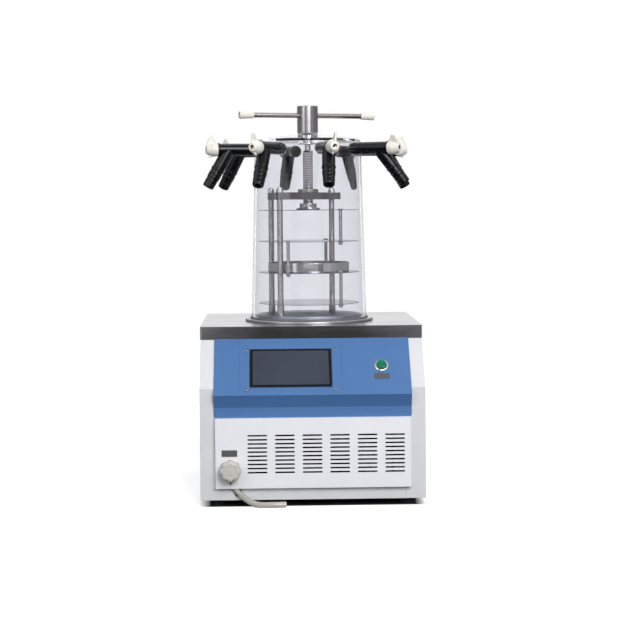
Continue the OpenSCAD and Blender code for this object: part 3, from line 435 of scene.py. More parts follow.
def top_sheet():
    """Brushed sheet whose folded skirt has a painted dark reflection, fading out towards its
    corners.
    """
    material, tree, shader, where = new_finish("Brushed top sheet")
    skin = use_group(tree, "brushed", {"Vector": where, "Tone": srgb(188, 188, 192),
                                       "Contrast": 0.45, "Gloss": 0.2})
    parts = split(tree, where)
    fold = (PLATE_Z - 2.5 * MM, PLATE_Z - 0.8 * MM)
    ends = (100 * MM, high("top_plate").x)
    # Painted reflection: the skirt is darkened in its middle and less towards its corners.
    share = times(tree, ranged(tree, parts[2], fold, (1.0, 0.0)),
                  ranged(tree, absolute(tree, parts[0]), ends, (1.0, 0.0)))
    colour = tinted(tree, share, skin["Color"], srgb(108, 106, 108))
    dressed(tree, shader, skin, colour, SCRATCH, Metallic=1.0)
    return material


def threaded_steel():
    """Cut thread: bright on the crests, with painted shade down in the roots."""
    material, tree, shader, where = new_finish("Cut thread steel")
    local = placed_vector(tree, where, CENTRE)
    skin = use_group(tree, "turned", {"Vector": local, "Tone": srgb(196, 194, 196),
                                      "Contrast": 0.3, "Gloss": 0.3})
    flank = (PRESS_R - 2.6 * MM, PRESS_R - 1.0 * MM)
    # Painted shade: the colour darkens towards the thread's root radius.
    root = ranged(tree, radius_of(tree, split(tree, local)), flank, (1.0, 0.0))
    colour = tinted(tree, root, skin["Color"], srgb(40, 38, 40))
    dressed(tree, shader, skin, colour, Metallic=1.0)
    return material


def mixed(tree, share, first, second):
    """Two shaders, the second as far as the share says."""
    return add_node(tree, "ShaderNodeMixShader", {0: share, 1: first.outputs[0],
                                                  2: second.outputs[0]})


def clear_acrylic():
    """Clear sheet that lets the lamps through, faintly blue in its thickness."""
    material, tree, shader, where = new_finish("Clear acrylic")
    skin = spray_skin(tree, where, (0.875, 0.875, 0.91, 1), 0.02, 40.0, 0.02, 0.03)
    dressed(tree, shader, skin, IOR=1.04, Transmission_Weight=1.0, Coat_Weight=0.7,
            Coat_Roughness=0.03)
    shadow = tree.nodes.new("ShaderNodeLightPath").outputs["Is Shadow Ray"]
    passing = add_node(tree, "ShaderNodeBsdfTransparent", {"Color": (0.9, 0.9, 0.92, 1)})
    whole = mixed(tree, shadow, shader, passing)
    tree.links.new(whole.outputs[0], tree.nodes["Material Output"].inputs["Surface"])
    return material


def panel_line(tree, where, x0, x1, s0, s1):
    """A mask of a thin rectangle scored on the slanted face, from its own X and slope."""
    parts = split(tree, placed_vector(tree, where, tuple(SLANT_TOP)))
    slope = plus(tree, times(tree, parts[1], -math.cos(SLANT_TILT)),
                 times(tree, parts[2], -math.sin(SLANT_TILT)))
    across = absolute(tree, minus(tree, parts[0], (x0 + x1) / 2))
    along = absolute(tree, minus(tree, slope, (s0 + s1) / 2))
    outside = larger(tree, minus(tree, across, (x1 - x0) / 2),
                     minus(tree, along, (s1 - s0) / 2))
    return ranged(tree, absolute(tree, outside), (0.3 * MM, 1.1 * MM), (1.0, 0.0))


def blue_paint():
    """Satin blue spray with a scored outline round the screen's sub-panel."""
    material, tree, shader, where = new_finish("Blue satin spray")
    skin = spray_skin(tree, where, srgb(74, 118, 174), 0.46, 1000.0, 0.05, 0.1)
    line = panel_line(tree, where, -147.5 * MM, 59 * MM, 10 * MM, 128.5 * MM)
    colour = tinted(tree, times(tree, line, 0.35), skin["Color"], srgb(48, 80, 130))
    dressed(tree, shader, skin, colour)
    embossed(tree, shader, minus(tree, times(tree, skin["Height"], 0.15), line), 0.25 * MM)
    return material


# The sprayed finishes' numbers are gloss, grain, drift of tone and drift of gloss; the metals'
# are gloss and contrast of their marks.
FINISH = {
    "painted_case": case_coat(),
    "white_panel": sprayed("White louvre coat", srgb(246, 247, 252), 0.46, 1100, 0.05),
    "blue_paint": blue_paint(),
    "stainless": brushed("Brushed stainless sheet", srgb(196, 196, 200), 0.3, 0.35),
    "top_sheet": top_sheet(),
    "rubber_feet": sprayed("Moulded rubber", srgb(38, 38, 38), 0.75, 700, 0.4, 0.15,
                           bump=0.1 * MM, worn=0.4, bare=srgb(86, 84, 82)),
    "black_rubber": sprayed("Black seal rubber", srgb(22, 22, 24), 0.55, 600, 0.4, 0.2,
                            bump=2 * PEEL),
    "screen": sprayed("Black bezel plastic", srgb(7, 8, 10), 0.34, 1400, 0.3, 0.1,
                      Specular_IOR_Level=0.3),
    "display": sprayed("Display", srgb(66, 71, 86), 0.14, 30, 0.2, 0.1, bump=PEEL / 2,
                       Coat_Weight=0.2, Coat_Roughness=0.05, Specular_IOR_Level=0.35),
    "fastener": brushed("Bright fastener steel", srgb(204, 204, 206), 0.24, 0.3, worn=0.4),
    "screen_screw": brushed("Dull screw steel", srgb(150, 152, 158), 0.36, 0.3),
    "button_ring": brushed("Satin button ring", srgb(246, 246, 246), 0.28, 0.12,
                           Specular_IOR_Level=0.6),
    "button_green": sprayed("Green moulded cap", srgb(2, 128, 88), 0.3, 300, 0.25, 0.08,
                            Specular_IOR_Level=0.3, Coat_Weight=0.12, Coat_Roughness=0.08),
    "label": sprayed("Bare label plate", srgb(92, 91, 94), 0.5, 1500, 0.3, 0.1),
    "black_valve": sprayed("Black moulded valve", srgb(10, 11, 15), 0.26, 260, 0.4, 0.1,
                           bump=PEEL / 2, Specular_IOR_Level=0.3, Coat_Weight=0.12,
                           Coat_Roughness=0.1),
    "grey_rubber": sprayed("Grey seal rubber", srgb(122, 120, 122), 0.55, 500, 0.3, 0.15),
    # Near-black fins: a dark coat, deepened further as painted shade behind the louvre slots.
    "dark_fins": sprayed("Dark fins deepened as painted shade", srgb(9, 9, 10), 0.8, 400, 0.3, 0.1,
                         Specular_IOR_Level=0.1),
    "hub_steel": lathed("Turned hub steel", srgb(176, 174, 176), 0.2, 0.45),
    "bar_steel": brushed("Drawn bar steel", srgb(160, 156, 154), 0.3, 0.3, degrees=-BAR_TURN),
    "drain_grey_valve": sprayed("Drain valve plastic", srgb(140, 136, 132), 0.45, 700, 0.2, 0.1),
    "white_knob": sprayed("Ivory moulded plastic", srgb(245, 243, 234), 0.34, 500, 0.14, 0.1,
                          Coat_Weight=0.15, Coat_Roughness=0.15),
    "drain_grey": sprayed("Drain knob plastic", srgb(207, 204, 198), 0.4, 700, 0.2, 0.1),
    "brass": metal("Brass insert", srgb(192, 170, 124), 0.3, "turned", 0.3),
    "hose": sprayed("Cloudy silicone", srgb(232, 229, 222), 0.14, 220, 0.12, 0.12, bump=2 * PEEL,
                    IOR=1.41, Transmission_Weight=0.6, Coat_Weight=0.6, Coat_Roughness=0.08),
    "copper": brushed("Tarnished copper", srgb(120, 76, 54), 0.5, 0.5),
    "foam": sprayed("Rigid foam", srgb(232, 222, 180), 0.9, 260, 0.5, 0.1, bump=0.6 * MM),
    "turned_steel": lathed("Turned stainless", srgb(204, 203, 205), 0.2, 0.35),
    "drawn_rod": lathed("Drawn rod steel", srgb(186, 184, 184), 0.26, 0.3),
    "polished": lathed("Polished dish steel", srgb(240, 239, 239), 0.12, 0.2),
    "shelf_steel": brushed("Bright shelf sheet", srgb(152, 152, 158), 0.18, 0.12),
    "grey_bar": brushed("Milled grey bar", srgb(128, 124, 130), 0.36, 0.4, degrees=-BRIDGE_TURN,
                        worn=0.5),
    "disc_grey": lathed("Blasted disc", srgb(176, 182, 192), 0.42, 0.3),
    "clear": clear_acrylic(),
    "screw_steel": threaded_steel(),
    "black_metal": sprayed("Black enamel", srgb(36, 36, 38), 0.35, 300, 0.3, 0.12,
                           worn=0.5, bare=srgb(110, 108, 106)),
    "board": sprayed("Circuit board", srgb(44, 108, 74), 0.45, 240, 0.5, 0.15, bump=0.2 * MM),
    "bronze": lathed("Turned nut bronze", srgb(176, 168, 156), 0.26, 0.35),
}


# ---------------------------------------------------------------- mesh helpers
def linked(name, data):
    """A new object in the scene that holds the data."""
    obj = bpy.data.objects.new(name, data)
    bpy.context.scene.collection.objects.link(obj)
    return obj


def shaded(mesh, angle=35):
    """Smooth shading that stays crisp at edges sharper than the angle."""
    mesh.shade_smooth()
    mesh.set_sharp_from_angle(angle=math.radians(angle))
    return mesh


def poured(bm, name):
    """A bmesh's shape as a new mesh; the bmesh itself goes."""
    mesh = bpy.data.meshes.new(name)
    bm.to_mesh(mesh)
    bm.free()
    return mesh


def as_mesh(bm, name, place=None, angle=35):
    """Turns a bmesh into a finished mesh at its place."""
    if place is not None:
        bmesh.ops.transform(bm, matrix=place, verts=bm.verts)
    bmesh.ops.recalc_face_normals(bm, faces=bm.faces)
    return shaded(poured(bm, name), angle)


def joined(name, meshes):
    """Several meshes as one, each keeping its material."""
    bm = bmesh.new()
    materials = []
    for mesh in meshes:
        start = len(bm.faces)
        bm.from_mesh(mesh)
        bm.faces.ensure_lookup_table()
        for face in bm.faces[start:]:
            own = mesh.materials[face.material_index] if mesh.materials else None
            if own not in materials:
                materials.append(own)
            face.material_index = materials.index(own)
    whole = poured(bm, name)
    for material in materials:
        whole.materials.append(material)
    return whole


def coloured(mesh, finish):
    """A mesh with one finish all over."""
    mesh.materials.clear()
    mesh.materials.append(FINISH[finish])
    return mesh


def settled(obj):
    """An object's mesh with its modifiers applied; the object itself goes."""
    graph = bpy.context.evaluated_depsgraph_get()
    mesh = bpy.data.meshes.new_from_object(obj.evaluated_get(graph))
    bpy.data.objects.remove(obj)
    return mesh


def applied(name, mesh, *modifiers):
    """A mesh with modifiers applied, each given as (kind, settings)."""
    obj = linked(name, mesh)
    for kind, settings in modifiers:
        modifier = obj.modifiers.new(kind, kind)
        for key, value in settings.items():
            setattr(modifier, key, value)
    return settled(obj)


def carved(mesh, cutters, operation="DIFFERENCE"):
    """A mesh with closed shapes cut out of it, or only what it shares with them."""
    holders = [linked("cutter", cutter) for cutter in cutters]
    result = applied("carved", mesh, *[("BOOLEAN", {"object": holder, "operation": operation,
                                                    "solver": "EXACT"}) for holder in holders])
    for holder in holders:
        bpy.data.objects.remove(holder)
    return result


def rounding(width, segments=2, angle=30):
    """A bevel on the edges that turn more than the angle."""
    return ("BEVEL", {"width": width, "segments": segments, "limit_method": "ANGLE",
                      "angle_limit": math.radians(angle), "harden_normals": False,
                      "use_clamp_overlap": True, "miter_outer": "MITER_ARC"})


def stand_in(name, mesh, node, finish=None):
    """Shows a mesh for a CAD node: it rides on the node's body and wears the finish if one is
    given.
    """
    mesh = applied(name, mesh, ("WEIGHTED_NORMAL", {"keep_sharp": True, "weight": 50}))
    mesh.name = name
    if finish:
        coloured(mesh, finish)
    obj = linked(name, mesh)
    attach(obj, frame["nodes"][node]["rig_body"])
    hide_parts(node)
    return obj


def eased(outline, steps=4):
    """An outline of (radius, height[, ease]) points, with the corners that have an ease rounded."""
    points = []
    for i, (x, y, *ease) in enumerate(outline):
        corner = Vector((x, y))
        if not ease:
            points.append((x, y))
            continue
        before = (Vector(outline[i - 1][:2]) - corner).normalized() * ease[0]
        after = (Vector(outline[(i + 1) % len(outline)][:2]) - corner).normalized() * ease[0]
        for k in range(steps + 1):
            t = k / steps
            point = corner + before * (1 - t) ** 2 + after * t ** 2
            points.append((point.x, point.y))
    return points


def steps_round(count):
    """The angles of so many even steps round a circle."""
    return [2 * math.pi * k / count for k in range(count)]


def turned_bm(outline, sides):
    """A shape turned round Z from a closed outline; a radius of 0 closes a pole."""
    bm = bmesh.new()
    rings = []
    for radius, height in outline:
        if radius < 1e-7:
            rings.append([bm.verts.new((0, 0, height))])
            continue
        rings.append([bm.verts.new((radius * math.cos(a), radius * math.sin(a), height))
                      for a in steps_round(sides)])
    for lower, upper in zip(rings, rings[1:] + rings[:1]):
        if len(lower) == 1 and len(upper) == 1:
            continue
        for k in range(sides):
            corners = [lower[k % len(lower)], lower[(k + 1) % sides % len(lower)],
                       upper[(k + 1) % sides % len(upper)], upper[k % len(upper)]]
            bm.faces.new(list(dict.fromkeys(corners)))
    return bm


def turned_mesh(name, outline, place=None, sides=48):
    """A turned mesh from an outline in millimetres, at its place."""
    scaled = [tuple(v * MM for v in point) for point in outline]
    return as_mesh(turned_bm(eased(scaled), sides), name, place)


def turned_piece(node, outline, place, sides, finish):
    """Stands a turned shape in for a CAD node."""
    name = node + "_finished"
    stand_in(name, turned_mesh(name, outline, place, sides), node, finish)


def skinned(bm, lower, upper):
    """Faces between two rings of vertices."""
    for k in range(len(lower)):
        j = (k + 1) % len(lower)
        bm.faces.new((lower[k], lower[j], upper[j], upper[k]))


def extruded_bm(outline, depth):
    """A flat outline of (x, y) points made into a solid from 0 up to depth."""
    bm = bmesh.new()
    bottom = [bm.verts.new((x, y, 0)) for x, y in outline]
    top = [bm.verts.new((x, y, depth)) for x, y in outline]
    bm.faces.new(bottom[::-1])
    bm.faces.new(top)
    skinned(bm, bottom, top)
    return bm


def rectangle(width, height):
    return [(x * width / 2, y * height / 2) for x, y in ((-1, -1), (1, -1), (1, 1), (-1, 1))]


def hexagon(radius):
    return [(radius * math.cos(a), radius * math.sin(a)) for a in steps_round(6)]


def softened_mesh(node, width=0.5, segments=2, corners=None, corner_size=0, angle=35,
                  edge_angle=30):
    """A copy of a CAD node with its loose triangles joined into whole faces and its edges eased;
    corners(end, end) picks the edges that are rounded more."""
    bm = bmesh.new()
    bm.from_mesh(frame["nodes"][node].data)
    bmesh.ops.remove_doubles(bm, verts=bm.verts, dist=0.002 * MM)
    bmesh.ops.dissolve_limit(bm, angle_limit=math.radians(0.4), verts=bm.verts, edges=bm.edges)
    if corners:
        picked = [e for e in bm.edges if corners(e.verts[0].co, e.verts[1].co)
                  and e.calc_face_angle(0) > math.radians(60)]
        bmesh.ops.bevel(bm, geom=picked, offset=corner_size * MM, segments=6, profile=0.5,
                        affect="EDGES")
    mesh = applied(node + "_soft", poured(bm, node), rounding(width * MM, segments, edge_angle))
    return shaded(mesh, angle)


def soften(node, finish=None, **settings):
    """Shows a CAD node with its edges eased and a finish on it."""
    stand_in(node + "_finished", softened_mesh(node, **settings), node, finish or SLOT[node])


# ---------------------------------------------------------------- geometry node trees
def growth_tree(name, inputs):
    """An empty geometry tree for a shape and its finish, with more inputs as in new_tree."""
    return new_tree(name, "GeometryNodeTree",
                    [("Geometry", GEOMETRY, None), *inputs, ("Finish", MATERIAL, None)],
                    [("Geometry", GEOMETRY)])


def close_tree(tree, geometry, given, out):
    """Ends a tree with its instances made real and its finish on them."""
    real = add_node(tree, "GeometryNodeRealizeInstances", {"Geometry": geometry})
    finished = add_node(tree, "GeometryNodeSetMaterial", {"Geometry": real.outputs[0],
                                                          "Material": given["Finish"]})
    return put_out(tree, out, Geometry=finished.outputs[0])


def placed_parts_tree():
    """Sets a part at each point, turned a step more than the last and rolled as the point asks."""
    tree, given, out = growth_tree("Placed parts", [
        ("Part", "NodeSocketObject", None), ("First Turn", FLOAT, 0.0), ("Turn Step", FLOAT, 0.0)])
    part = add_node(tree, "GeometryNodeObjectInfo", {"Object": given["Part"]},
                    transform_space="ORIGINAL").outputs["Geometry"]
    index = tree.nodes.new("GeometryNodeInputIndex").outputs[0]
    heading = plus(tree, times(tree, index, given["Turn Step"]), given["First Turn"])
    roll = add_node(tree, "GeometryNodeInputNamedAttribute", {"Name": "roll"},
                    data_type="FLOAT").outputs["Attribute"]
    points = add_node(tree, "GeometryNodeMeshToPoints", {"Mesh": given["Geometry"]})
    set_out = add_node(tree, "GeometryNodeInstanceOnPoints",
                       {"Points": points.outputs[0], "Instance": part,
                        "Rotation": combined(tree, roll, 0.0, heading)})
    return close_tree(tree, set_out.outputs[0], given, out)


def raised(tree, geometry, height):
    return add_node(tree, "GeometryNodeTransform",
                    {"Geometry": geometry.outputs[0],
                     "Translation": combined(tree, 0.0, 0.0, height)})


def thread_tree():
    """A screw: a core with a ridge wound round it from its foot to its top."""
    tree, given, out = growth_tree("Screw thread", [
        ("Crest Radius", FLOAT, 0.012), ("Depth", FLOAT, 0.0015), ("Pitch", FLOAT, 0.005),
        ("Length", FLOAT, 0.12)])
    root = minus(tree, given["Crest Radius"], given["Depth"])
    wound = minus(tree, given["Length"], given["Pitch"])
    helix = add_node(tree, "GeometryNodeCurveSpiral",
                     {"Resolution": 40, "Start Radius": root, "End Radius": root,
                      "Rotations": maths(tree, "DIVIDE", wound, given["Pitch"]),
                      "Height": wound, "Reverse": False})
    upright = add_node(tree, "GeometryNodeSetCurveNormal", {"Curve": helix.outputs[0]},
                       mode="Z_UP")
    route = raised(tree, upright, times(tree, given["Pitch"], 0.5))
    half = times(tree, given["Pitch"], 0.42)
    ridge = add_node(tree, "GeometryNodeCurvePrimitiveQuadrilateral",
                     {"Bottom Width": times(tree, half, 2.0), "Top Width": times(tree, half, 0.7),
                      "Height": times(tree, given["Depth"], 2.0), "Offset": 0.0},
                     mode="TRAPEZOID")
    swept = add_node(tree, "GeometryNodeCurveToMesh", {"Curve": route.outputs[0],
                                                       "Profile Curve": ridge.outputs[0],
                                                       "Fill Caps": True})
    core = add_node(tree, "GeometryNodeMeshCylinder",
                    {"Vertices": 48, "Radius": root, "Depth": given["Length"]})
    core = raised(tree, core, times(tree, given["Length"], 0.5))
    both = add_node(tree, "GeometryNodeJoinGeometry")
    for shape in (swept, core):
        tree.links.new(shape.outputs[0], both.inputs[0])
    return close_tree(tree, both.outputs[0], given, out)


TREES = {"placed": placed_parts_tree(), "thread": thread_tree()}


def grown(name, tree_name, base, **values):
    """The mesh that a geometry tree makes on a base mesh, with its named inputs set."""
    tree = TREES[tree_name]
    obj = linked(name, base)
    modifier = obj.modifiers.new(name, "NODES")
    modifier.node_group = tree
    sockets = {item.name: item.identifier for item in tree.interface.items_tree
               if item.item_type == "SOCKET" and item.in_out == "INPUT"}
    for key, value in values.items():
        modifier[sockets[key.replace("_", " ")]] = value
    return settled(obj)


def points_mesh(name, places, rolls=()):
    """Loose points, each with a roll that the placed parts read."""
    mesh = bpy.data.meshes.new(name + "_places")
    mesh.from_pydata([tuple(p) for p in places], [], [])
    held = mesh.attributes.new("roll", "FLOAT", "POINT")
    for i, roll in enumerate(rolls):
        held.data[i].value = math.radians(roll)
    return mesh


def repeated_piece(name, node, part, places, finish, first_turn=0.0, turn_step=0.0, rolls=(),
                   place=Matrix()):
    """Stands a part repeated at each place in for a CAD node; turns and rolls are in degrees."""
    pattern = linked(name + "_part", part)
    mesh = grown(name, "placed", points_mesh(name, places, rolls), Part=pattern,
                 First_Turn=math.radians(first_turn), Turn_Step=math.radians(turn_step),
                 Finish=FINISH[finish])
    bpy.data.objects.remove(pattern)
    mesh.transform(place)
    stand_in(name, shaded(mesh), node)


def on_rod_circle(node, part, angles, z, finish, *turns):
    """Stands copies of a part round the chamber's axis in for a CAD node."""
    places = [(AXIS.x + ROD_CIRCLE * math.cos(math.radians(a)),
               AXIS.y + ROD_CIRCLE * math.sin(math.radians(a)), z) for a in angles]
    repeated_piece(node + "_finished", node, part, places, finish, *turns)


# ---------------------------------------------------------------- camera and hose
CAMERA_AT, LENS, SENSOR = (-0.080, -3.430, 0.603), 91.8, 36
CAMERA_HEADING, CAMERA_DIP, CAMERA_ROLL = -1.54, 3.93, -0.45


def build_camera():
    data = bpy.data.cameras.new("Camera")
    data.sensor_width = SENSOR
    data.lens = LENS
    camera = linked("Camera", data)
    camera.matrix_world = (shift(*CAMERA_AT) @ turn(CAMERA_HEADING, "Z")
                           @ turn(90 - CAMERA_DIP, "X") @ turn(CAMERA_ROLL, "Z"))
    bpy.context.scene.camera = camera


HOSE_START = Vector((-165.5, -240, 62)) * MM
HOSE_ROUTE = [(0, 0, 0), (0, 0, -8), (2, 0, -15), (6, 0, -21), (11, -1, -28), (18, -4, -35),
              (26, -8, -42), (36, -12, -49), (48, -15, -54), (60, -17, -56), (73, -18, -56),
              (86, -18, -56), (98, -17, -56), (110, -15, -56)]
HOSE_D, HOSE_WALL = 12 * MM, 1.6 * MM


def smooth_route(points, steps=5):
    """A smooth curve through the points, with a few more between each two."""
    ends = [2 * points[0] - points[1]] + points + [2 * points[-1] - points[-2]]
    route = []
    for a, b, c, d in zip(ends, ends[1:], ends[2:], ends[3:]):
        for k in range(steps):
            t = k / steps
            route.append(0.5 * (2 * b + (c - a) * t + (2 * a - 5 * b + 4 * c - d) * t * t
                                + (3 * b - 3 * c + d - a) * t ** 3))
    return route + [points[-1]]


def swept_bm(route, sections, sides=28):
    """A tube along a route; sections are (point index, radius) in the order they are walked."""
    bm = bmesh.new()
    rings = []
    for index, radius in sections:
        ahead = route[min(index + 1, len(route) - 1)] - route[max(index - 1, 0)]
        along = ahead.normalized()
        across = along.cross(Vector((0, 1, 0))).normalized()
        beside = along.cross(across)
        rings.append([bm.verts.new(route[index] + radius * (math.cos(a) * across
                                                            + math.sin(a) * beside))
                      for a in steps_round(sides)])
    for one, other in zip(rings, rings[1:] + rings[:1]):
        skinned(bm, one, other)
    return bm


def build_hose():
    """The drain hose: a soft tube with a real wall, lying from the spout out along the bench."""
    route = smooth_route([HOSE_START + Vector(p) * MM for p in HOSE_ROUTE])
    last = len(route) - 1
    outer, inner = HOSE_D / 2, HOSE_D / 2 - HOSE_WALL
    sections = ([(i, outer) for i in range(last + 1)] + [(last, inner)]
                + [(i, inner) for i in range(last - 1, -1, -1)])
    mesh = as_mesh(swept_bm(route, sections), "drain_hose_tube", angle=50)
    hose = stand_in("drain_hose_tube", mesh, "drain_hose", finish="hose")


# ---------------------------------------------------------------- cabinet
def near(a, b):
    """Whether two places along an axis are less than 0.1 mm apart."""
    return abs(a - b) < 0.1 * MM


def build_case():
    for node in ("base_pan", "rear_panel"):
        soften(node, width=0.6)
    for node in ("side_panel_left", "side_panel_right"):
        soften(node, width=0.6, angle=18, edge_angle=15)
    soften("front_panel", width=0.3)


def build_control_panel():
    bottom, right = low("control_panel").z, high("control_panel").x

    def corner(a, b):
        return (near(a.z, bottom) and near(b.z, bottom) and near(a.x, b.x)
                and near(abs(a.x), right))
    soften("control_panel", width=0.7, segments=3, corners=corner, corner_size=5, angle=18,
           edge_angle=15)


def build_top_plate():
    lowest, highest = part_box("top_plate")

    def corner(a, b):
        return ((a - b).xy.length < 0.01 * MM and (near(a.x, lowest.x) or near(a.x, highest.x))
                and (near(a.y, lowest.y) or near(a.y, highest.y)))
    soften("top_plate", finish="top_sheet", width=0.6, segments=3, corners=corner, corner_size=5)


def build_feet():
    edge = 18
    foot = turned_mesh("foot", [(0, 0), (15, 0, 1.5), (edge, 13, 1.0), (4, 13), (4, 19, 0.6),
                                (0, 19)])
    lowest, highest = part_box("feet")
    places = [(x, y, 0) for x in (lowest.x + edge * MM, highest.x - edge * MM)
              for y in (lowest.y + edge * MM, highest.y - edge * MM)]
    repeated_piece("rubber_feet", "feet", foot, places, "rubber_feet")


def build_screen():
    """The screen's frame, softened, with the display set in its recess."""
    rim_x, rim_y, lift = 12 * MM, 9 * MM, 4.15 * MM
    mesh = coloured(softened_mesh("touch_screen", width=0.8, segments=3), "screen")
    plate = extruded_bm(rectangle(SCREEN_W - rim_x, SCREEN_H - rim_y), 0.5 * MM)
    face = as_mesh(plate, "display", on_slant(SCREEN_X, SCREEN_S) @ shift(0, 0, lift))
    whole = joined("touch_screen_finished", [mesh, coloured(face, "display")])
    stand_in("touch_screen_finished", whole, "touch_screen")


def cross_head_mesh():
    """A pan head screw with a cross recess."""
    radius, height, shank, length = 3.2, 1.9, 1.5, 8
    outline = [(0, height), (radius * 0.72, height, radius * 0.3),
               (radius, height * 0.45, radius * 0.2), (radius, 0), (shank, 0), (shank, -length),
               (0, -length)]
    cutters = []
    for quarter in (0, 90):
        bar = extruded_bm(rectangle(3.8 * MM, 0.7 * MM), 2 * MM)
        cutters.append(as_mesh(bar, "recess", shift(0, 0, 1.0 * MM) @ turn(quarter + 20, "Z")))
    return carved(turned_mesh("screen_screw", outline, sides=32), cutters)


def build_screen_screws():
    across, down, lower, lift = 89, 49, 3.5, 2 * MM
    places = [(x * across * MM, (y * down - lower) * MM, lift) for x in (-1, 1) for y in (-1, 1)]
    repeated_piece("screen_screw_set", "screen_screws", cross_head_mesh(), places,
                   "screen_screw", 10, 33, place=on_slant(SCREEN_X, SCREEN_S))


def build_button():
    place = on_slant(BUTTON_X, BUTTON_S)
    bezel = [(14.5, 2), (14.2, 3.6, 0.5), (12.6, 5, 0.8), (10.3, 5, 0.4), (10.3, -18),
             (11.3, -20), (11.3, 2)]
    turned_piece("button_bezel", bezel, place, 64, "button_ring")
    top, crown = 10.1, 0.9
    cap = [(0, top + crown)] + [(r, top + crown - crown * (r / 9) ** 2) for r in (2, 4, 6, 8, 9)]
    cap += [(10, top - crown, 0.4), (10, -14.5, 0.4), (0, -14.5)]
    turned_piece("button_cap", cap, place, 64, "button_green")


def build_labels():
    soften("label_plates", width=0.2)


# ---------------------------------------------------------------- drain
def lobed_outline(reach, core, lobe_r, lobes, points=160):
    """The outline of round lobes standing out of a round core."""
    centre = reach - lobe_r
    step = 2 * math.pi / lobes
    outline = []
    for angle in steps_round(points):
        off = (angle + step / 2) % step - step / 2
        side = centre * math.sin(off)
        hit = centre * math.cos(off) + math.sqrt(max(lobe_r ** 2 - side ** 2, 0))
        radius = max(core, hit if abs(side) < lobe_r else 0)
        outline.append((radius * math.cos(angle), radius * math.sin(angle)))
    return outline


def lofted_bm(outline, levels):
    """Copies of an outline at (scale, height) levels, skinned and closed at both ends."""
    bm = bmesh.new()
    rings = [[bm.verts.new((x * s, y * s, z)) for x, y in outline] for s, z in levels]
    for lower, upper in zip(rings, rings[1:]):
        skinned(bm, lower, upper)
    for ring, (_, z) in ((rings[0], levels[0]), (rings[-1], levels[-1])):
        pole = bm.verts.new((0, 0, z))
        for k in range(len(ring)):
            bm.faces.new((ring[k], ring[(k + 1) % len(ring)], pole))
    return bm


def build_drain():
    soften("drain_valve", finish="drain_grey_valve", width=0.6)
    place = shift(DRAIN_X, high("drain_knob").y, DRAIN_Z) @ turn(90, "X")
    outline = lobed_outline(22 * MM, 19.8 * MM, 7 * MM, 8)
    levels = [(0.86, 0), (0.97, 0.8), (1.0, 2.5), (1.0, 13), (0.985, 15.5), (0.93, 17.6),
              (0.84, 18.8), (0.66, 19.4), (0.62, 19.0), (0.58, 18.6), (0.3, 19.2), (0.05, 19.6)]
    bm = lofted_bm(outline, [(s, z * MM) for s, z in levels])
    mesh = as_mesh(bm, "drain_knob_finished", place, 40)
    stand_in("drain_knob_finished", mesh, "drain_knob", finish="drain_grey")


# ---------------------------------------------------------------- chamber
def build_ring_and_seal():
    ring = [(137, 1.2, 0.6), (137, 4.2, 0.8), (135.6, 5, 0.6), (127.6, 5), (127.2, 4.5),
            (126.6, 5), (104, 5, 0.4), (104, 2), (112.3, 2), (112.3, 0), (136, 0, 0.4)]
    turned_piece("chamber_ring", ring, on_axis(PLATE_Z), 160, "stainless")
    seal = [(126, 0, 0.8), (126, 4, 1.0), (114, 4, 1.0), (114, 0, 0.8)]
    turned_piece("bell_seal", seal, on_axis(RING_Z), 128, "grey_rubber")


def build_base_disc():
    disc = [(111, 0.6, 0.4), (111, 8.2, 0.6), (110, 9, 0.6), (16.4, 9, 0.6), (16, 0), (110.6, 0)]
    turned_piece("base_disc", disc, on_axis(RING_Z), 128, "disc_grey")


BELL_FOOT, BELL_SHOULDER, BELL_HEIGHT, DOME_HEIGHT, BELL_WALL = 123, 113.5, 369, 18, 6
SHOULDER_R, DOME_END, GLAND_R, VALVE_HOLE_R = 8, 79, 10, 13.1


def bell_line(inset):
    """The bell's outline from its foot to the gland, at a depth inside its outer face."""
    dome_edge = BELL_SHOULDER - SHOULDER_R
    line = [(BELL_FOOT - inset + (BELL_SHOULDER - BELL_FOOT) * share, BELL_HEIGHT * share)
            for share in (0.01, 0.1, 0.25, 0.5, 0.75, 0.9, 0.99)]
    bend = SHOULDER_R - inset
    for k in range(13):
        a = math.radians(DOME_END * k / 12)
        line.append((dome_edge + bend * math.cos(a), BELL_HEIGHT + bend * math.sin(a)))
    start = dome_edge * 0.97
    for k in range(1, 15):
        r = start - (start - GLAND_R) * k / 14
        drop = (DOME_HEIGHT - SHOULDER_R) * (r / dome_edge) ** 2
        line.append((r, BELL_HEIGHT + DOME_HEIGHT - drop - inset))
    return line


def build_bell():
    """The clear bell: a tapered wall with a rounded shoulder, holed for each valve."""
    ease = 0.8
    outline = [(BELL_FOOT - BELL_WALL, ease), (BELL_FOOT - BELL_WALL + ease, 0),
               (BELL_FOOT - ease, 0), (BELL_FOOT, ease)]
    outline += bell_line(0) + bell_line(BELL_WALL)[::-1]
    mesh = turned_mesh("bell_glass", outline, on_axis(BELL_Z), 192)
    drill = [(0, 90), (VALVE_HOLE_R, 90), (VALVE_HOLE_R, 140), (0, 140)]
    cutters = [turned_mesh("drill", drill, at_valve(i)) for i in range(VALVE_COUNT)]
    stand_in("bell_glass", shaded(carved(mesh, cutters), 40), "bell", finish="clear")


def build_gland():
    top = height_of("gland")
    outline = [(6.1, 0.4), (7.2, 0, 0.3), (13, 0, 0.8), (13, top - 20.6), (19.5, top - 20.6, 0.5),
               (19.5, top - 18.3, 0.4), (9.9, top - 18.3), (9.9, top, 0.4), (6.1, top)]
    turned_piece("gland", outline, on_axis(low("gland").z), 64, "turned_steel")


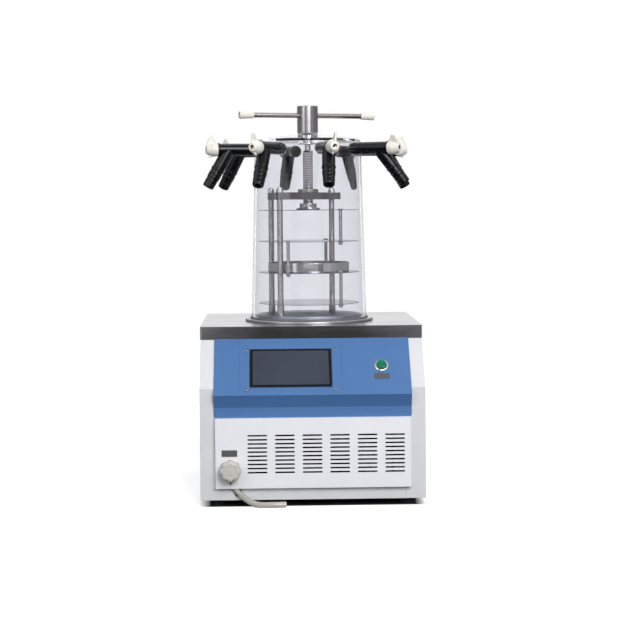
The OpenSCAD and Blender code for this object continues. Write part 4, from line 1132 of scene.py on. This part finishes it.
# ---------------------------------------------------------------- stand
def build_rods():
    foot = 7
    bottom = DISC_Z - foot * MM
    length = (BRIDGE_Z - bottom) / MM
    stud_top = (high("support_rods").z - bottom) / MM
    rod = [(0, 0), (4, 0, 0.5), (4, foot), (6, foot, 0.3), (6, length, 0.5), (4, length),
           (4, stud_top, 0.8), (0, stud_top)]
    on_rod_circle("support_rods", turned_mesh("rod", rod, sides=32), ROD_ANGLES, bottom,
                  "drawn_rod")
    top = (high("rod_spacers").z - DISC_Z) / MM
    spacer = [(7.2, 0, 0.6), (7.2, top, 0.6), (6.15, top), (6.15, 0)]
    on_rod_circle("rod_spacers", turned_mesh("spacer", spacer, sides=32), ROD_ANGLES, DISC_Z,
                  "drawn_rod")


def build_acorn_nuts():
    """Cap nuts on the rods' studs: a chamfered hexagon with a ball on it."""
    hexa = as_mesh(extruded_bm(hexagon(7.5 * MM), 6.5 * MM), "hex")
    dish = turned_mesh("chamfer", [(0, -1), (6.9, -1), (7.9, 1.2), (7.9, 5.2), (6.7, 6.6),
                                   (0, 6.6)])
    ball_r, ball_z = 6.2, 5.5
    ball = [(0, ball_z + ball_r)]
    for degrees in range(10, 91, 10):
        a = math.radians(degrees)
        ball.append((ball_r * math.sin(a), ball_z + ball_r * math.cos(a)))
    crown = turned_mesh("crown", ball + [(ball_r, 4), (0, 4)], sides=40)
    part = joined("acorn", [carved(hexa, [dish], "INTERSECT"), crown])
    on_rod_circle("acorn_nuts", part, ROD_ANGLES, BRIDGE_TOP, "fastener", 12, 25)


def build_bridge():
    soften("bridge_bar", width=0.9, segments=3)
    nut = [(12.06, 0, 0.5), (15, 0, 0.4), (15, 15), (22, 15, 0.6), (22, 22, 0.9), (13, 22, 0.6),
           (12.06, 20.8)]
    turned_piece("screw_nut", nut, on_axis(BRIDGE_Z), 64, "bronze")


def build_screw():
    """The press screw, threaded over its whole length."""
    mesh = grown("press_screw_finished", "thread", points_mesh("press_screw", [(0, 0, 0)]),
                 Crest_Radius=PRESS_R, Depth=THREAD_DEPTH, Pitch=PRESS_LEAD,
                 Length=high("press_screw").z - low("press_screw").z,
                 Finish=FINISH["screw_steel"])
    mesh.transform(on_axis(low("press_screw").z))
    stand_in("press_screw_finished", shaded(mesh), "press_screw")


def build_press_foot():
    outline = [(0, 0), (24.4, 0, 0.6), (25.5, 1.4, 0.8), (25.5, 3.4, 0.9), (22, 4.5, 0.8),
               (18.25, 4.5, 0.6), (18.25, 13.5, 1.0), (12.6, 13.5, 0.5), (12.6, 4.5), (0, 4.5)]
    turned_piece("press_foot", outline, on_axis(low("press_foot").z), 72, "turned_steel")


def build_shelves():
    for i in range(1, 5):
        soften(f"shelf_{i}", finish="shelf_steel", width=0.25)
    top = height_of("shelf_dish")
    dish = [(0, 0), (87, 0, 2.2), (87, top - 1.0, 0.5), (87, top, 0.4), (85.5, top, 0.4),
            (85.5, 1.5, 1.6), (0, 1.5)]
    turned_piece("shelf_dish", dish, on_axis(low("shelf_dish").z), 128, "polished")


def build_links():
    """The link bolts: each hangs from its shelf by its head and carries the next on its nut."""
    for i, angles in ((1, LINKS_WIDE), (2, LINKS_DEEP), (3, LINKS_WIDE)):
        node = f"shelf_links_{i}"
        span = height_of(node)
        bolt = [(0, 0), (3.5, 0, 0.7), (3.5, span - 2.6), (5, span - 2.5, 0.3),
                (5, span, 0.9), (0, span)]
        nut = as_mesh(extruded_bm(hexagon(5.5 * MM), 4 * MM), "link_nut", shift(0, 0, 3 * MM))
        nut = applied("link_nut", nut, rounding(0.5 * MM))
        part = joined("link", [turned_mesh("shank", bolt, sides=32), nut])
        on_rod_circle(node, part, angles, low(node).z, "drawn_rod", 15, 20)


# ---------------------------------------------------------------- handle
def build_hub():
    top = height_of("handle_hub")
    side = (high("handle_hub").x - low("handle_hub").x) / 2 / MM
    hub = [(6.1, 0), (side - 2.5, 0, 0.6), (side, 4, 1.0), (side, top - 1.6, 0.5),
           (side - 1.4, top, 0.8), (side - 6, top, 0.6), (side - 6.6, top - 0.8, 0.4),
           (0, top - 0.8), (0, 30), (6.1, 30)]
    turned_piece("handle_hub", hub, on_axis(low("handle_hub").z), 96, "hub_steel")
    soften("drive_shaft", finish="drawn_rod", width=0.4)


def build_t_bar():
    half, cap_start = 149, 122
    across = (on_axis(((low("t_bar") + high("t_bar")) / 2).z) @ turn(BAR_TURN, "Z")
              @ turn(90, "Y"))
    bar = [(0, -half), (5.35, -half, 0.8), (5.35, half, 0.8), (0, half)]
    turned_piece("t_bar", bar, across, 48, "bar_steel")
    cap = [(5.4, 0, 0.3), (7, 0, 0.8), (8.1, 22, 1), (8.5, 29.4, 1.2), (7, 31, 0.8),
           (3.1, 31, 0.4), (3.1, 28.6), (0, 28.6), (0, 27), (5.4, 27)]
    ends = []
    for side in (0, 180):
        place = across @ turn(side, "Y") @ shift(0, 0, cap_start * MM)
        ends.append(coloured(turned_mesh("bar_cap", cap, place), "white_knob"))
    stand_in("bar_caps_finished", joined("bar_caps_finished", ends), "bar_caps")


# ---------------------------------------------------------------- manifold
def valve_mesh():
    """One valve: a tube through the bell's wall with a stepped branch leaning out of it."""
    tube = [(7, 104), (9, 104, 0.6), (13, 106.5, 3.2), (13, 193, 0.6), (14.5, 193, 0.8),
            (14.5, 196, 0.9), (7, 196, 0.5)]
    branch = [(7, 0), (11, 0), (13.5, 3, 1.5), (13.5, 47.4, 0.8), (14.5, 48, 0.6), (14.5, 51, 0.8),
              (13.2, 51.8, 0.5), (13.2, 60, 0.5), (13.9, 60.8, 0.5), (13.9, 62.4, 0.5),
              (13.2, 63.2, 0.5), (13.2, 70, 0.7), (12.3, 71.4, 0.6), (12.3, 77, 0.4),
              (12.7, 77.6, 0.3), (12.7, 79, 0.3), (12.2, 79.6, 0.4), (11.9, 89.5, 0.6),
              (11.2, 92, 0.9), (7, 92, 0.6)]
    branch_start, branch_lean = 171, 31
    lean = shift(0, 0, branch_start * MM) @ turn(90 - branch_lean, "Y")
    return joined("valve", [turned_mesh("valve_tube", tube),
                            turned_mesh("valve_branch", branch, lean)])


def build_valves():
    valve = valve_mesh()
    valve.transform(turn(90, "Y"))
    repeated_piece("valve_set", "valve_bodies", valve, [(AXIS.x, AXIS.y, VALVE_Z)] * VALVE_COUNT,
                   "black_valve", VALVE_PHASE, 360 / VALVE_COUNT, rolls=VALVE_TWISTS)


def knob_mesh():
    """One valve knob: skirt, cone and wing, with a brass insert in its vent."""
    body = [(0, -0.2), (13.4, 0, 0.6), (14, 1.2, 0.8), (14, 11, 1.6), (9, 24.2, 1.2),
            (6, 25, 0.6), (4.5, 25, 0.4), (4.5, 17), (0, 17)]
    plug = [(0, -33), (6.95, -33, 0.6), (6.95, 0.5), (0, 0.5)]
    wing = [(0, 2), (-14, 2), (-26, 9), (-30, 14), (-27, 18), (-9, 24.4), (-4.9, 24.6),
            (-4.9, 10), (4.9, 10), (4.9, 24.6), (17, 17), (14, 6)]
    thickness = 4
    flat = extruded_bm([(x * MM, z * MM) for x, z in wing], thickness * MM)
    fin = as_mesh(flat, "knob_wing", shift(0, thickness / 2 * MM, 0) @ turn(90, "X"))
    fin = shaded(applied("knob_wing", fin, rounding(1.4 * MM, 3)), 40)
    insert = [(4.5, 23.6), (4.5, 17.2), (2.4, 17.2), (2.4, 18.2), (3.9, 18.6), (3.9, 23.6, 0.2)]
    bottom = [(0, 17.3), (2.4, 17.3), (2.4, 17.6), (0, 17.6)]
    return joined("knob", [
        coloured(turned_mesh("knob_grip", body), "white_knob"),
        coloured(turned_mesh("knob_plug", plug, sides=32), "white_knob"),
        coloured(fin, "white_knob"),
        coloured(turned_mesh("knob_insert", insert, sides=32), "brass"),
        coloured(turned_mesh("knob_bottom", bottom, sides=24), "black_rubber")])


def build_knobs():
    pattern = knob_mesh()
    for i in range(VALVE_COUNT):
        mesh = pattern.copy()
        mesh.transform(at_valve(i) @ shift(0, 0, KNOB_SEAT))
        stand_in(f"valve_knob_{i + 1}_finished", mesh, f"valve_knob_{i + 1}")


# ---------------------------------------------------------------- inside and rear
def build_inside():
    for node in ("cold_trap", "trap_coil", "trap_insulation", "compressor", "condenser",
                 "fan_motor", "fan_blades", "refrigerant_pipes", "control_board"):
        for held in frame["nodes"][node].material_slots:
            held.material = FINISH[SLOT[node]]
    soften("power_inlet", width=0.4)
    soften("vacuum_port", width=0.5)


# ---------------------------------------------------------------- studio
WHITE = grey(1)


def emptied(holder):
    """A material's or world's node tree, cleared, and what its Light Path puts out."""
    holder.use_nodes = True
    holder.node_tree.nodes.clear()
    return holder.node_tree, holder.node_tree.nodes.new("ShaderNodeLightPath").outputs


def surfaced(tree, shader, kind="ShaderNodeOutputMaterial"):
    tree.links.new(shader.outputs[0], tree.nodes.new(kind).inputs["Surface"])


def glowing(tree, strength, kind="ShaderNodeEmission"):
    return add_node(tree, kind, {"Color": WHITE, "Strength": strength})


def reflected_only(name, strength):
    """A glow found by reflected rays, unless the reflection was inside the bell's own wall."""
    material = bpy.data.materials.new(name)
    tree, path = emptied(material)
    crossed = path["Transmission Depth"]
    in_wall = times(tree, maths(tree, "GREATER_THAN", crossed, 0.5),
                    maths(tree, "LESS_THAN", crossed, 3.5))
    found = minus(tree, maths(tree, "GREATER_THAN", path["Glossy Depth"], 0.5), in_wall, True)
    clear = add_node(tree, "ShaderNodeBsdfTransparent", {"Color": WHITE})
    surfaced(tree, mixed(tree, found, clear, glowing(tree, strength)))
    return material


def build_world():
    """White to the eye, to metal and to glass; a plain low level as a light."""
    world = bpy.data.worlds.new("Studio")
    bpy.context.scene.world = world
    tree, path = emptied(world)
    seen = larger(tree, path["Is Camera Ray"],
                  larger(tree, path["Is Glossy Ray"], path["Is Transmission Ray"]))
    plain, white = [glowing(tree, level, "ShaderNodeBackground") for level in (0.32, 1.0)]
    surfaced(tree, mixed(tree, seen, plain, white), "ShaderNodeOutputWorld")


# Each lamp's name, place, size in metres and power in watts; all aim at one point
LAMPS = [("Key", (1.0, -3.0, 2.0), 1.8, 86), ("Fill", (-1.9, -2.2, 1.7), 1.4, 14),
         ("Top", (0.2, 0.6, 3.0), 1.6, 12)]
LAMP_AIM = Vector((0, 0, 0.35))


def build_lamps():
    """A large lamp at the front right, a weaker one at the front left and one over the back."""
    for name, at, size, power in LAMPS:
        data = bpy.data.lights.new(name, "AREA")
        data.size = size
        data.energy = power
        lamp = linked(name, data)
        lamp.location = at
        lamp.rotation_euler = (LAMP_AIM - Vector(at)).to_track_quat("-Z", "Y").to_euler()


# Screens round the set that only metal and glass reflect: from and to in degrees, the heights
# they start and end at, and their brightness
FOOT, SPLIT, HEAD = -0.3, 0.3, 3.4
REFLECTED = [((-8, 78), FOOT, HEAD, 0.3), ((102, 188), FOOT, HEAD, 0.3),
             ((188, 206), FOOT, HEAD, 0.35), ((206, 234), FOOT, HEAD, 1.0),
             ((234, 254), FOOT, HEAD, 0.25), ((254, 294), FOOT, SPLIT, 0.1),
             ((254, 294), SPLIT, HEAD, 1.0), ((294, 310), FOOT, HEAD, 0.15),
             ((310, 334), FOOT, HEAD, 0.5), ((334, 352), FOOT, HEAD, 0.35)]
SCREENS_R, SCREEN_FOLDS = 4.6, 8
OVERHEAD, OVERHEAD_BACK, OVERHEAD_SIZE = 0.3, -1.0, (1.6, 1.5, 3.3)


def hang_card(name, bm, strength):
    """A card that only reflections find."""
    mesh = poured(bm, name)
    mesh.materials.append(reflected_only(name, strength))
    obj = linked(name, mesh)
    for ray in ("camera", "diffuse", "shadow"):
        setattr(obj, "visible_" + ray, False)


def build_reflected_screens():
    for number, ((start, end), foot, head, strength) in enumerate(REFLECTED):
        bm = bmesh.new()
        columns = []
        for k in range(SCREEN_FOLDS + 1):
            a = math.radians(start + (end - start) * k / SCREEN_FOLDS)
            columns.append([bm.verts.new((SCREENS_R * math.cos(a), SCREENS_R * math.sin(a), z))
                            for z in (foot, head)])
        for one, other in zip(columns, columns[1:]):
            bm.faces.new((one[0], other[0], other[1], one[1]))
        hang_card(f"reflected_screen_{number}", bm, strength)
    x, y, z = OVERHEAD_SIZE
    bm = bmesh.new()
    bm.faces.new([bm.verts.new((a, OVERHEAD_BACK + b, z)) for a, b in rectangle(2 * x, 2 * y)])
    hang_card("overhead_card", bm, OVERHEAD)


def floor_material():
    """White to the eye, with a painted shadow under the object; dark as a light, and in reflections
    dark in front and lighter towards the back."""
    material = bpy.data.materials.new("Studio floor")
    tree, path = emptied(material)
    parts = split(tree, add_node(tree, "ShaderNodeTexCoord").outputs["Object"])
    across, along = absolute(tree, parts[0]), absolute(tree, parts[1])
    side = high("side_panel_right").x
    front = -low("front_panel").y - 10 * MM
    edge = 4 * MM
    # Painted shadow: the floor's colour and glow fall to near black over the cabinet's footprint.
    clear = larger(tree, ranged(tree, across, (side - 5 * edge, side + edge), (0.0, 1.0)),
                   ranged(tree, along, (front - edge, front + edge), (0.0, 1.0)))
    away = larger(tree, minus(tree, across, side), minus(tree, along, front))
    strength = plus(tree, times(tree, clear, 0.6), ranged(tree, away, (0.3, 1.2), (0.0, 0.5)))
    paper_and_painted_shadow = tinted(tree, clear, grey(0.04), grey(0.9))
    shadowed = add_node(tree, "ShaderNodeAddShader",
                        {0: add_node(tree, "ShaderNodeBsdfDiffuse", {"Color": paper_and_painted_shadow}).outputs[0],
                         1: glowing(tree, strength).outputs[0]})
    # Seen through the bell the floor glows, dimmed as a painted shadow under the cabinet.
    flat = glowing(tree, ranged(tree, clear, (0.0, 1.0), (0.1, 1.0)))
    viewed = mixed(tree, path["Is Transmission Ray"], shadowed, flat)
    behind = ranged(tree, parts[1], (-0.3, 0.9), (0.0, 1.0))
    mirrored = tinted(tree, behind, grey(0.06), grey(0.7))
    tone = tinted(tree, path["Is Glossy Ray"], grey(0.2), mirrored)
    plain = add_node(tree, "ShaderNodeBsdfDiffuse", {"Color": tone})
    seen = larger(tree, path["Is Camera Ray"], path["Is Transmission Ray"])
    surfaced(tree, mixed(tree, seen, plain, viewed))
    return material


def build_floor():
    radius, depth = 3800, 10
    mesh = turned_mesh("floor", [(0, 0), (radius, 0), (radius, -depth), (0, -depth)], sides=96)
    mesh.materials.append(floor_material())
    linked("floor", mesh)


for build in (build_camera, build_hose, build_case, build_control_panel, build_top_plate,
              build_feet, build_screen, build_screen_screws, build_button, build_labels,
              build_drain, build_ring_and_seal, build_base_disc, build_bell, build_gland,
              build_rods, build_acorn_nuts, build_bridge, build_screw, build_press_foot,
              build_shelves, build_links, build_hub, build_t_bar, build_valves, build_knobs,
              build_inside, build_world, build_lamps, build_reflected_screens, build_floor):
    build()
bpy.context.scene.view_settings.view_transform = "Standard"
